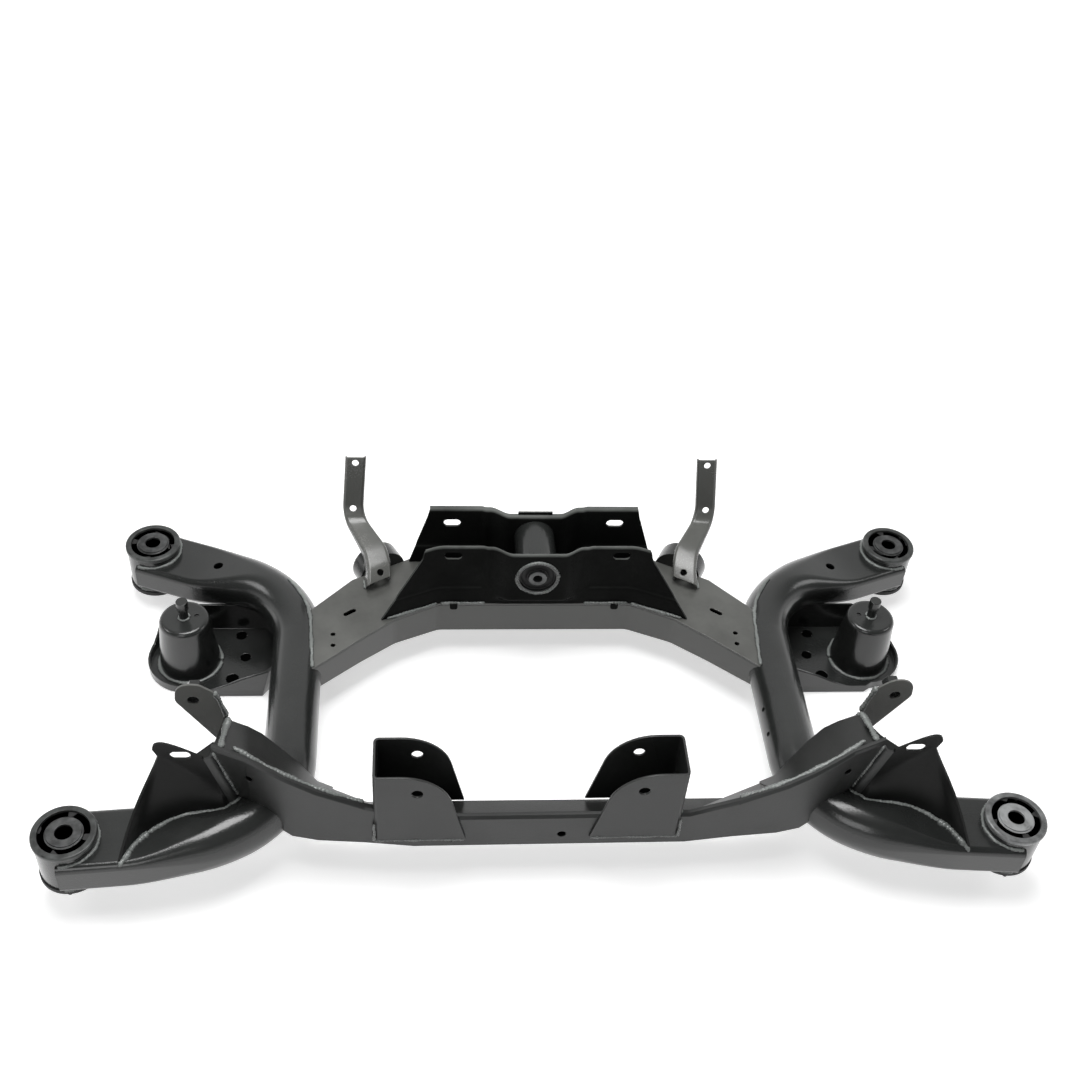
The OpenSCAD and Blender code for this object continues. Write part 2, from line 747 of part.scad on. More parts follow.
// Web between the plates: front fold and back edge, from top to foot
function web_row(y, zs, out) = [for (z = zs) [-web_at(z) - seam - out, y, z]];
function web_grid(out) = [
    web_row(link_front_y - bite, [web_top, 20, web_foot], out),
    web_row(link_front_y + 30, [web_top - 6, 20, web_foot], out),
    web_row(link_back_y + bite, [web_back_top, 20, back_plate_foot], out)
];
module link_bracket() {
    difference() {
        union() {
            front_view(link_back_y, link_back_y + sheet) link_back_outline();
            sheet_between(web_grid(0), web_grid(sheet));
            sheet_between(thicken(wing_rows, sheet), wing_rows);
        }
        front_tube_cut();
        translate([-link_x, link_back_y, link_z]) along_y()
            cylinder(d = link_hole_d, h = 20, center = true);
        translate([-link_x - slot_shift, link_front_y, link_z]) along_y()
            slot(link_slot, link_hole_d, 20);
    }
}
module left_link_bracket() { color(paint) link_bracket(); }
module right_link_bracket() { color(paint) on_right() link_bracket(); }

thread_d = link_hole_d - 2;
module link_nut() {
    translate([-link_x, link_back_y + sheet + seam, link_z]) along_y() difference() {
        cylinder(d = nut_af / cos(30), h = nut_l, $fn = 6);
        translate([0, 0, -over]) cylinder(d = thread_d, h = nut_l + 2 * over);
    }
}
module left_link_nut() { color(steel) link_nut(); }
module right_link_nut() { color(steel) on_right() link_nut(); }

// Rear crossmember

rear_face_y = rear_axis.y - 117;
box_top = -20;
box_bottom = box_top - rear_h;
box_end = run_x - 8;
// Right half of the front and the back edge in plan
front_half = [[box_end - 177, rear_face_y], [box_end - 119, rear_face_y - 28],
    [box_end - 74, rear_face_y - 64], [box_end, rear_face_y - 128]];
back_half = [[box_end - 205, rear_face_y + rear_depth], [box_end - 143, rear_face_y + rear_depth - 9],
    [box_end - 61, rear_face_y + rear_depth - 53], [box_end, rear_face_y + rear_depth - 118]];
function whole(half) = concat(
    [for (i = [len(half) - 1 : -1 : 0]) [-half[i].x, half[i].y]], half);
function backwards(list) = [for (i = [len(list) - 1 : -1 : 0]) list[i]];
// Plan of the box, drawn in by g on its two long sides
module box_plan(g) {
    polygon(concat(beside(whole(front_half), g), backwards(beside(whole(back_half), -g))));
}
module rear_tubes_cut() {
    rear_tube_cut();
    on_right() rear_tube_cut();
}
// Side of the box as seen from the front, its floor rising to the sides and lifted by g
box_rise = 11;
module box_side(g, top) {
    polygon([
        [-box_end - over, top], [-box_end - over, box_bottom + box_rise + g],
        [-front_half[0].x, box_bottom + g], [front_half[0].x, box_bottom + g],
        [box_end + over, box_bottom + box_rise + g], [box_end + over, top]
    ]);
}
module box_body(plan_in, lift, top) {
    intersection() {
        translate([0, 0, box_bottom - over]) linear_extrude(rear_h + 4 * over) box_plan(plan_in);
        front_view(rear_face_y - 200, rear_face_y + 200) box_side(lift, top);
    }
}
module rear_beam_channel() {
    color(paint) difference() {
        box_body(0, 0, box_top - sheet - seam);
        box_body(sheet, sheet, box_top + over);
        rear_tubes_cut();
    }
}
cover_slot = [box_end - 60, rear_face_y - 15, 18, 6];
cover_holes = [[box_end - 40, rear_face_y - 54], [box_end - 41, rear_face_y - 73]];
cover_hole_d = 6;
module rear_beam_cover() {
    color(paint) difference() {
        translate([0, 0, box_top - sheet]) linear_extrude(sheet) box_plan(0);
        rear_tubes_cut();
        for (s = [-1, 1]) {
            translate([s * cover_slot[0], cover_slot[1], box_top]) rotate(-s * 35)
                slot(cover_slot[2], cover_slot[3], 4 * sheet);
            for (h = cover_holes) translate([s * h.x, h.y, box_top])
                cylinder(d = cover_hole_d, h = 4 * sheet, center = true);
        }
    }
}

// Differential rear mount

mount_z = box_top + mount_axis;
plate_foot = box_top + seam;
front_plate_y = rear_face_y + 1;
rear_plate_y = front_plate_y + plate_gap;
front_plate_top = mount_z + 40;
rear_plate_top = mount_z + 34;
front_slot_z = mount_z + 25;
rear_slot_z = mount_z + 10;
plate_slot = [110, 23, 12];
top_flange = 8;
// Half widths of the plates at the foot and at the top
front_plate_half = 203;
front_plate_top_half = 149;
rear_plate_half = 168;
rear_plate_top_half = 143;
// Corners cut off the plates at the top
front_plate_chamfer = 3;
rear_plate_chamfer = 3;
corner_drop = 14;
// Half widths of the pressed pocket around the bush: flat part and outer edge
pocket = [33, 60];
pocket_foot = plate_foot + 13;
plate_bend = 128;
plate_reach = 212;
plate_xs = both_ways_off([pocket[0], pocket[1], plate_bend, plate_reach]);

// Section of a plate at a distance x from the middle
function plate_path(x, y, top, back) =
    let (step = abs(x) <= pocket[0] ? joggle : 0)
    [
        [y, plate_foot], [y, pocket_foot - 8], [y - step, pocket_foot + 6], [y - step, top],
        [y - step + back, top]
    ];
module pressed_plate(plate_ys, top, back) {
    paths = [for (i = [0 : len(plate_xs) - 1]) plate_path(plate_xs[i], plate_ys[i], top, back)];
    sheet_between(
        [for (i = [0 : len(paths) - 1]) [for (p = paths[i]) [plate_xs[i], p.x, p.y]]],
        [for (i = [0 : len(paths) - 1])
            [for (p = beside(paths[i], -sheet)) [plate_xs[i], p.x, p.y]]]
    );
}
// Cuts the sides of a plate to slope, and its bush hole and slots
module trim_plate(y, foot_half, top_half, top, chamfer, slot_z) {
    difference() {
        intersection() {
            children();
            front_view(y - 80, y + 60) polygon([
                [-foot_half, plate_foot - over], [foot_half, plate_foot - over],
                [top_half, top - corner_drop], [top_half - chamfer, top + over],
                [chamfer - top_half, top + over], [-top_half, top - corner_drop]
            ]);
        }
        translate([0, y, mount_z]) along_y()
            cylinder(d = housing_d + 2 * seam, h = 80, center = true);
        for (s = [-1, 1]) translate([s * plate_slot[0], y, slot_z]) along_y()
            slot(plate_slot[1], plate_slot[2], 40);
    }
}
module diff_front_plate() {
    wing_y = front_plate_y - 35;
    ys = [for (x = plate_xs) abs(x) > plate_bend ? wing_y : front_plate_y];
    color(paint_dark)
        trim_plate(front_plate_y, front_plate_half, front_plate_top_half,
            front_plate_top, front_plate_chamfer, front_slot_z)
            pressed_plate(ys, front_plate_top, sheet + 1);
}
module diff_rear_plate() {
    ys = [for (x = plate_xs) rear_plate_y];
    color(paint_dark)
        trim_plate(rear_plate_y, rear_plate_half, rear_plate_top_half,
            rear_plate_top, rear_plate_chamfer, rear_slot_z)
            pressed_plate(ys, rear_plate_top, top_flange);
}
// The housing stands a little out of both pockets
housing_stand = 1;
housing_y0 = front_plate_y - joggle - housing_stand;
housing_l = plate_gap + sheet + 2 * housing_stand;
sleeve_stand = 1;
module diff_bush_housing() {
    color(paint) translate([0, housing_y0, mount_z]) along_y() difference() {
        cylinder(d = housing_d, h = housing_l);
        translate([0, 0, -over])
            cylinder(d = housing_d - 2 * housing_wall, h = housing_l + 2 * over);
    }
}
module diff_bush_rubber() {
    rubber_r = housing_d / 2 - housing_wall - seam;
    color(rubber) translate([0, housing_y0, mount_z]) along_y() rotate_extrude() difference() {
        translate([mount_core_d / 2 + seam, 3])
            square([rubber_r - mount_core_d / 2 - seam, housing_l - 6]);
        for (z = [3, housing_l - 3])
            translate([(rubber_r + mount_core_d / 2) / 2, z]) circle(4);
    }
}
module diff_bush_sleeve() {
    color(steel) translate([0, housing_y0 - sleeve_stand, mount_z]) along_y() difference() {
        cylinder(d = mount_core_d, h = housing_l + 2 * sleeve_stand);
        translate([0, 0, -over])
            cylinder(d = mount_bore_d, h = housing_l + 2 * sleeve_stand + 2 * over);
    }
}

// Stays

// Left stay from its top to its foot: place of the web, turn about Z, width, flange depth
stay_rows = [
    [[-239, 272, 109], 0, stay_w, 6],
    [[-244, 251, 34], 0, stay_w, 6],
    [[-240, 243, 24], 6, stay_w + 1, 8],
    [[-226, 219, 19], 14, stay_w + 2, 11],
    [[-213, 197, 14], 20, stay_w + 4, 15],
    [[-207, 175, 6], 27, stay_w + 6, 20],
    [[-206, 155, -6], 30, stay_w + 8, 26]
];
stay_sheet = 2.5;
function stay_tangent(i) =
    let (d = stay_rows[min(i + 1, len(stay_rows) - 1)][0] - stay_rows[max(i - 1, 0)][0])
    d / norm(d);
function stay_across(i) = [cos(stay_rows[i][1]), sin(stay_rows[i][1]), 0];
function stay_normal(i) = let (n = cross(stay_tangent(i), stay_across(i))) n / norm(n);
function stay_section(i, deep) =
    let (w = stay_rows[i][2] / 2, d = stay_rows[i][3] + deep)
    [[-w, -d], [-w, 0], [w, 0], [w, -d]];
function stay_grid(t, deep = 0) = [
    for (i = [0 : len(stay_rows) - 1])
        [for (p = beside(stay_section(i, deep), -t))
            stay_rows[i][0] + stay_across(i) * p.x + stay_normal(i) * p.y]
];
// Holes in the web: row that the hole is measured from, distance along the row's tangent
stay_holes = [[0, 8], [0, 76], [5, 12]];
module stay() {
    difference() {
        sheet_between(stay_grid(0), stay_grid(stay_sheet));
        for (h = stay_holes) {
            n = stay_normal(h[0]);
            p = stay_rows[h[0]][0] + h[1] * stay_tangent(h[0]);
            translate(p) rotate([0, acos(n.z), atan2(n.y, n.x)])
                cylinder(d = stay_hole_d, h = 24, center = true);
        }
        translate([-400, 0, box_top + seam - 100]) cube([400, 400, 100]);
    }
}
module left_stay() { color(paint) stay(); }
module right_stay() { color(paint) on_right() stay(); }

// Half-round brackets on the back wall, behind the stays
cup_r = 33;
cup_l = 26;
cup_at = [-203, rear_face_y + rear_depth - 31];
cup_turn = 28;
module stay_bracket() {
    difference() {
        translate([cup_at.x, cup_at.y, box_top - 8]) rotate(cup_turn) along_y() difference() {
            cylinder(r = cup_r, h = cup_l);
            translate([0, 0, sheet]) cylinder(r = cup_r - sheet, h = cup_l);
        }
        translate([0, 0, box_bottom - 50]) linear_extrude(rear_h + 50 + seam) box_plan(-seam);
        skin(stay_grid(-4 * seam, over));
        translate([-400, 0, box_bottom - 100]) cube([400, 400, 100]);
    }
}
module left_stay_bracket() { color(paint_dark) stay_bracket(); }
module right_stay_bracket() { color(paint_dark) on_right() stay_bracket(); }

// Spring seats

seat_floor = -seat_depth;
// Reach of the floor towards the side tube, and half its length along the tube
tray_inner = 110;
tray_half = 61;
rim_h = 10;
wall_h = 46;
// The walls reach a little into the side tube, which cuts them
tube_bite = 10;
wall_flare = seat_x - run_x - tube_d / 2 + tube_bite - tray_inner;
// Where the walls start to climb from the rim, and where the back one reaches its height
front_climb = 25;
back_climb = -53;
back_full = -36;
tray_points = 40;
tray_holes = [[63, 45, 15], [72, 5, 14], [58, -33, 17]];

// Pressed pan around the spring axis: a low rim outside, walls that climb to the side tube inside
function tray_reach(a, g) =
    cos(a) > 0
        ? min((tray_inner - g) / cos(a), (tray_half - g) / max(0.01, abs(sin(a))))
        : tray_r - g;
function wall_rise(x, y) =
    y < 0
        ? ease((x - front_climb) / (tray_inner - front_climb))
        : ease((x - back_climb) / (back_full - back_climb));
function tray_ring(up, g) = [
    for (i = [0 : tray_points - 1])
        let (
            a = 360 * (i + 0.5) / tray_points,
            x = tray_reach(a, g) * cos(a),
            y = tray_reach(a, g) * sin(a),
            out = tray_reach(a, 0) * cos(a),
            z = up * mix(rim_h, wall_h, wall_rise(out, y))
        )
        [x + up * wall_flare * pow(max(0, out) / tray_inner, 2), y, z]
];
function lifted(ring, z) = [for (p = ring) p + [0, 0, z]];
module spring_tray() {
    difference() {
        translate([-seat_x, seat_y, seat_floor]) difference() {
            skin([lifted(tray_ring(0, 0), -sheet), tray_ring(1, 0), tray_ring(1, sheet),
                tray_ring(0, sheet)]);
            for (h = tray_holes) translate([h.x, h.y, 0])
                cylinder(d = h[2], h = 4 * sheet, center = true);
            cylinder(d = dome_base_d + 2 * seam, h = 4 * sheet, center = true);
        }
        rear_tube_cut();
    }
}
module left_spring_tray() { color(paint) spring_tray(); }
module right_spring_tray() { color(paint) on_right() spring_tray(); }

// The skirt of the dome goes through the tray floor and is welded in it
dome_skirt = sheet + seam;
dome_wall = 2.5;
dome_round = 7;
stud_d = 12;
stud_head_d = 15.5;
stud_head_h = 14;
vent_d = 6;
dome_arc = 15;
// Profile of the dome from its axis, drawn in by g, with its foot lowered by drop
module dome_profile(g, drop) {
    top_r = dome_top_d / 2 - g;
    r = dome_round - g;
    polygon(concat(
        [[0, -drop], [dome_base_d / 2 - g, -drop], [dome_base_d / 2 - g, 0]],
        [for (a = [0 : dome_arc : 90])
            [top_r - r + r * cos(a), dome_h - g - r + r * sin(a)]],
        [[0, dome_h - g]]
    ));
}
module spring_dome() {
    translate([-seat_x, seat_y, seat_floor + seam]) difference() {
        rotate_extrude() difference() {
            dome_profile(0, dome_skirt);
            dome_profile(dome_wall, dome_skirt + over);
        }
        cylinder(d = stud_d + 2 * seam, h = 2 * dome_h);
        translate([16, 3, 0]) cylinder(d = vent_d, h = 2 * dome_h);
    }
}
module left_spring_dome() { color(paint) spring_dome(); }
module right_spring_dome() { color(paint) on_right() spring_dome(); }

module stop_stud() {
    translate([-seat_x, seat_y, seat_floor + seam + dome_h]) {
        translate([0, 0, -dome_wall - 6]) cylinder(d = stud_d, h = stud_h + dome_wall + 6 - 2);
        translate([0, 0, stud_h - stud_head_h]) cylinder(d = stud_head_d, h = stud_head_h);
        translate([0, 0, -dome_wall - seam - 6]) cylinder(d = stud_head_d, h = 6);
    }
}
module left_stop_stud() { color(paint_dark) stop_stud(); }
module right_stop_stud() { color(paint_dark) on_right() stop_stud(); }

left_side_tube();
right_side_tube();
front_left_eye();
front_right_eye();
rear_left_eye();
rear_right_eye();
front_left_bush_shell();
front_right_bush_shell();
rear_left_bush_shell();
rear_right_bush_shell();
front_left_bush_rubber();
front_right_bush_rubber();
rear_left_bush_rubber();
rear_right_bush_rubber();
front_left_bush_core();
front_right_bush_core();
rear_left_bush_core();
rear_right_bush_core();
front_beam_shell();
front_beam_cover();
left_end_gusset();
right_end_gusset();
left_diff_bracket();
right_diff_bracket();
left_link_bracket();
right_link_bracket();
left_link_nut();
right_link_nut();
rear_beam_channel();
rear_beam_cover();
diff_front_plate();
diff_rear_plate();
diff_bush_housing();
diff_bush_rubber();
diff_bush_sleeve();
left_stay();
right_stay();
left_stay_bracket();
right_stay_bracket();
left_spring_tray();
right_spring_tray();
left_spring_dome();
right_spring_dome();
left_stop_stud();
right_stop_stud();
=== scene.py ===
import math
from collections import namedtuple

import bmesh
import bpy
from bpy.props import FloatProperty, FloatVectorProperty, PointerProperty
from mathutils import Matrix, Vector


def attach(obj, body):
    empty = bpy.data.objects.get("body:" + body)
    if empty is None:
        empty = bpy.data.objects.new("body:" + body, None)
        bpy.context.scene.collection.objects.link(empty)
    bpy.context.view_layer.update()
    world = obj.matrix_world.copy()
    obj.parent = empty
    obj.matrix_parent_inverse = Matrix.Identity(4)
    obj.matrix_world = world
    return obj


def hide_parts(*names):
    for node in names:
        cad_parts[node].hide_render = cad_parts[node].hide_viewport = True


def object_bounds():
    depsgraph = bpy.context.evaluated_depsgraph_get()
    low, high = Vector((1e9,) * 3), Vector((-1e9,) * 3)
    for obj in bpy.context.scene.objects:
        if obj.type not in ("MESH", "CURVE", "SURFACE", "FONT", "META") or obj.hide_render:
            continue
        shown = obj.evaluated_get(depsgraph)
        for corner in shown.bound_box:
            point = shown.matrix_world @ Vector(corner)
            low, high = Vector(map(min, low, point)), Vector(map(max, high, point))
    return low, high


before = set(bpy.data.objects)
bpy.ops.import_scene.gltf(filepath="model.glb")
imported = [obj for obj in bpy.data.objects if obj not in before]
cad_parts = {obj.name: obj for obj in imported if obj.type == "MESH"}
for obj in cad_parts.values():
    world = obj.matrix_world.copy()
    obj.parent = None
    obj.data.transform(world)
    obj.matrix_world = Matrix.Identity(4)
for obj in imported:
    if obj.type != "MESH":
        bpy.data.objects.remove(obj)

bl_info = {
    "name": "Welded subframe dressing",
    "version": (1, 0, 0),
    "blender": (4, 5, 0),
    "location": "3D View > Sidebar > Subframe",
    "description": "Smooth tubes, folded sheets, weld beads and finishes around the solids of a subframe",
    "category": "Object",
}

# Lengths are in millimetres where no other unit is named. A name that ends in _CUT is the length of
# a shape that cuts a hole.
CAD_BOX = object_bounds()
MM = 0.001
UP = (0, 0, 1)
BACK = (0, 1, 0)
ROUND_SEGMENTS = 96
SIDES = (("left", 1), ("right", -1))
CORNERS = ("front_left", "front_right", "rear_left", "rear_right")

# Left side tube. The right one is its mirror image.
FRONT_AXIS = Vector((-545, -242))
REAR_AXIS = Vector((-517, 242))
FRONT_CORNER = Vector((-307, -225))
REAR_CORNER = Vector((-313, 165))
FRONT_BEND_R = 110
REAR_BEND_R = 125
FRONT_Z = -37
REAR_Z = -55
REAR_LIFT = 8
TUBE_D = 64
FRONT_ARM = (82, 44)
REAR_ARM = (80, 40)
FLAT_LENGTH = 62
GROW_LENGTH = 120
FLAT_CORNER_R = 9
EYE_REACH = 8
EYE_D = 70.2
EYE_COPE_D = 70.4
ARM_HOLE_FROM = 97
ARM_HOLE_D = 13
ARM_HOLE_CUT = 16
COPE_CUT = 90
CLIP_HOLES_Y = (-95, -55)
CLIP_HOLE_D = 6
CLIP_LEAN = math.radians(60)
STATION_REACH = 9

# Sheet of the pressed pieces, and the gap between welded solids
SHEET = 3
WELD_GAP = 0.1

# Nib under the left front bush
NIB = (-545, -270, -75.6)
NIB_D = 6
NIB_LENGTH = 5
NIB_ROUND = 0.8

# Front crossmember
BEAM_END = 367
STRAIGHT_HALF = 215
RISE_FROM = 160
BEAM_FACE_Y = -228
BEAM_TOP = -9
END_SWEEP = 38
END_RISE = 84
LIP_W = 8

# Hole near each end of the front crossmember: distance from the middle, height, diameter. A closed
# dark cup stands behind it: painted shade, so that the hole looks deep.
END_HOLE = (344, 36, 8)
CUP_OVERLAP = 3
CUP_GAP = 0.2
CUP_DEPTH = 6
CUP_WALL = 1.2

# Folded brackets of the differential: place of the bolt and side of the outer plate, distances of
# the two plates from the bolt, height of the foot
DIFF_BOLTS = ((-156, -1), (100, 1))
DIFF_OUTER = 49
DIFF_INNER = 55
DIFF_FOOT = -44

# Link bracket on the left
LINK_X = -410
LINK_Z = 78
LINK_FRONT_Y = -196
LINK_BACK_Y = -121
LINK_SLOT = 23
LINK_HOLE_D = 13
LINK_CUT = 30
SLOT_X = -415

# Web of the left link bracket: its lean, its top at the back, the knee and the fold, and its foot
WEB_SLANT = 0.27
WEB_MID_Z = 16
WEB_TOPS = (47, 61, 70)
WEB_KNEE = 0.6
WEB_FOOT = -14
WEB_CREASE_DROP = 0.75
FOLD_R = 9
FOOT_SINK = 1

# Wing of the left link bracket: its top edge, crease and foot, from the fold outwards
WING_TOP = (
    (-15, 0, 70), (-20, 0, 72), (-25, 0, 74), (-35, 0, 81), (-45, 0, 88), (-54, 0, 93.5),
    (-61, 0, 97), (-66, 0, 98.5), (-71, 0, 98.2), (-75.5, 0, 95), (-77, 0, 88.5),
)
WING_CREASE = ((2, 0, 6), (-21, 0, 22), (-43, 0, 46), (-59, 0, 60), (-66, 0, 68), (-71, -1, 75))
WING_FOOT = (
    (7, -9, -14), (-29, -10, -18), (-63, -20, -20),
    (-85, -33, -20), (-103, -50, -20), (-116, -78, -20),
)
WING_BULGE = Vector((-5, -3, 0))
BULGE_GROWTH = 4
CREASE_AT = 0.45
CREASE_SOFT = 0.09
SOFT_TAPS = (-1, -0.5, 0, 0.5, 1)

# Back plate of the left link bracket, seen from the front, and the level tie in its corner
LINK_PLATE = (
    (-431, 77), (-429, 94), (-423, 102), (-414, 105), (-402, 104), (-386, 91), (-382, 77),
    (-375.8, 48), (-363, 0), (-385, 0),
)
LINK_PLATE_WELD = slice(5, 8)
LINK_PLATE_ROUND = 4.2
LINK_PLATE_ROUND_FROM = 60
TIE_Z = 61
TIE_BACK_Y = -168
TIE_FRONT_Y = -195.4
TIE_OUTER_X = -411
TIE_GAP = 1.2
# Bead over the top edge of the web
KNOT = ((-373, -186, 75), (-373, -172, 71), (-372, -150, 65), (-371, -130, 58))

# Pressed plates of the differential's rear mount. A plate has a front face, half widths at its foot
# and near its top, a height, a cut corner, a top flange, ends that sweep forward, and two slots.
Plate = namedtuple("Plate", "front foot_half top_half top corner flange sweep slot_z")
PLATES = {
    "diff_front_plate": Plate(
        front=126, foot_half=203, top_half=149, top=81, corner=3, flange=4, sweep=35, slot_z=66,
    ),
    "diff_rear_plate": Plate(
        front=205, foot_half=168, top_half=143, top=75, corner=3, flange=8, sweep=0, slot_z=51,
    ),
}
PLATE_FOOT = -19.9
PLATE_CORNER_H = 14
PLATE_BEND_FROM = 128
PLATE_BEND_LENGTH = 84
PLATE_BEND_SOFT = 8
FLANGE_R = 4
# Pocket round the bush, which stands forward by JOGGLE, and the shallow recess on each side of it
POCKET_FLAT = 33
POCKET_EDGE = 60
POCKET_FOOT = -14.9
POCKET_RISE = 14
JOGGLE = 13
RECESS = 2
RECESS_FOOT = 5
RECESS_RISE = 9
RECESS_EDGE = 64
RECESS_SIDE = 8
# Slots, the tab under the front plate on the left and the lip of the rear plate
PLATE_SLOT_X = 110
PLATE_SLOT_LENGTH = 23
PLATE_SLOT_D = 12
PLATE_SLOT_CUT = 40
TAB = (-108, 123.4, -22.5)
TAB_SIZE = (10, 3, 11)
TAB_ROUND = 3
PLATE_LIP_SIZE = (46, 2.5, 7)
PLATE_LIP_BACK = 6.6
PLATE_LIP_RISE = 1.2

# Left stay from its top to its foot: place of the web, turn in degrees, width, flange depth
STAY_ROWS = (
    ((-239, 272, 109), 0, 28, 6), ((-244, 251, 34), 0, 28, 6), ((-240, 243, 24), 6, 29, 8),
    ((-226, 219, 19), 14, 30, 11), ((-213, 197, 14), 20, 32, 15), ((-207, 175, 6), 27, 34, 20),
    ((-206, 155, -6), 30, 36, 26),
)
STAY_SHEET = 2.5
STAY_FOLD_R = 4.5
STAY_SOFT = 7.0
STAY_PROBE = 4
STAY_TRIM = (-210, 165)
STAY_TRIM_SIZE = 200
# Holes of the stay: the row that each is measured from, and the distance along the stay
STAY_HOLES = ((0, 8), (0, 76), (5, 12))
STAY_HOLE_D = 9
STAY_HOLE_CUT = 24
# Short beads at the foot of the left stay, in plan
STAY_BEADS = (
    ((-225.6, 152), (-226.3, 160), (-227.4, 169)),
    ((-195, 170), (-196.4, 177), (-197, 184)),
)

# Spring seat on the left and the mount of the differential
SEAT = Vector((-459, 105, -108))
DOME_BASE_R = 40
MOUNT_Z = 41
HOUSING_R = 27
HOUSING_GAP = 0.2
HOUSING_CUT = 80
TRAY_HOLES = ((63, 45, 15), (72, 5, 14), (58, -33, 17))
TRAY_FLOOR_LOW = -111
# Thin dark plugs close the tray holes: painted shade where the holes would look through.
PLUG_RISE = 0.6
PLUG_GAP = 0.1
PLUG_SHEET = 0.8
STUD_BEAD_Z = 84.6
STUD_BEAD_R = 6.6

# Weld beads: least and added size of a ripple, and waves along the line (size, pace, phase)
RIPPLE = (0.76, 0.34)
RIPPLE_STEPS = 3
RIPPLE_DRIFT = (0.4, 0.19, 0.0)
WANDER = ((0.3, 0.31, 0.0), (0.22, 0.83, 1.0))
SWELL = (0.2, 0.13, 2.0)
BEAD_POINTS = 9
BEAD_FLATNESS = 0.8
BEAD_TAPER = 1.3
BEAD_TIP = 0.06
BEAD_STEP = 6
EYE_BEAD_TURN = 98
END_BEAD_Z = (72, -10)
BACK_BEAD_Z = (46, 0)
REAR_BEAD_X = (20, 156)
WING_TAIL = slice(-16, -2)

# Box of the rear crossmember
BOX_TOP = -20
BOX_FRONT_Y = -2
BOX_END_X = -345

# Cleaning and rounding of meshes, in metres and degrees
MERGE = 0.00002
LAST_MERGE = 0.00001
SHORTEST_EDGE = 0.00005
FLAT_ANGLE = 1.5
FOLD_FROM = 10
SHORTEST_FOLD = 0.012
RIM_FROM = 60
TIE_EDGE = 0.0004
# Shares of the edge rounding on pressed sheets and of the fold rounding on the front cover
PRESSED_RIM = 0.6
COVER_FOLD = 0.6

# Finishes: depth of the orange peel and of scratches in metres, roughness of the clear coat
PEEL_DEPTH = 0.0005
SCRATCH_DEPTH = 0.0003
SCRATCH_BUMP = 0.1
COAT_ROUGHNESS = 0.14
SURFACE = (
    ("Colour", "NodeSocketColor"), ("Roughness", "NodeSocketFloat"), ("Height", "NodeSocketFloat"),
)

# Stage, in metres: half width of the floor and its gap under the part, and the lamps with their
# place, aim, size and power
FLOOR_HALF = 9.0
FLOOR_GAP = 0.0005
LAMPS = {
    "top_lamp": ((-0.2, 0.15, 2.2), (-0.15, 0.1, 0), (1.3, 1.1), 40),
    "left_lamp": ((-1.9, 0.1, 1.3), (0, 0, 0), (0.6, 0.6), 5),
    "right_lamp": ((1.9, 0.1, 1.3), (0, 0, 0), (0.6, 0.6), 4),
    "key_lamp": ((-0.8, -2.0, 1.5), (0, 0, 0), (1.0, 1.0), 8),
}


def ease(t):
    """Smooth step from 0 to 1."""
    t = max(0.0, min(1.0, t))
    return t * t * (3 - 2 * t)


def mix(a, b, t):
    """Point or number between a and b."""
    return a + (b - a) * t


def through(points, t):
    """Smooth curve through a list of points, at t from 0 to 1."""
    last = len(points) - 1
    i = min(int(t * last), last - 1)
    u = t * last - i
    a, b, c, d = (Vector(points[max(0, min(last, k))]) for k in range(i - 1, i + 3))
    bend = (2 * a - 5 * b + 4 * c - d) * (u * u / 2)
    return b + (c - a) * (u / 2) + bend + (3 * b - a - 3 * c + d) * (u * u * u / 2)


def metres(points):
    """Points in metres from points in millimetres."""
    return [Vector(p) * MM for p in points]


def mirror(place, side):
    """Place on the left side, or its mirror image for side -1."""
    return Vector((place[0] * side, place[1], place[2]))


def mirrored(points, side):
    """Points of the left side, or their mirror images for side -1."""
    return [mirror(p, side) for p in points]


def turning_value(low, high, is_low):
    """Value between low and high at which is_low stops being true, found by halving."""
    for _ in range(24):
        middle = (low + high) / 2
        low, high = (middle, high) if is_low(middle) else (low, middle)
    return (low + high) / 2


# Side tube


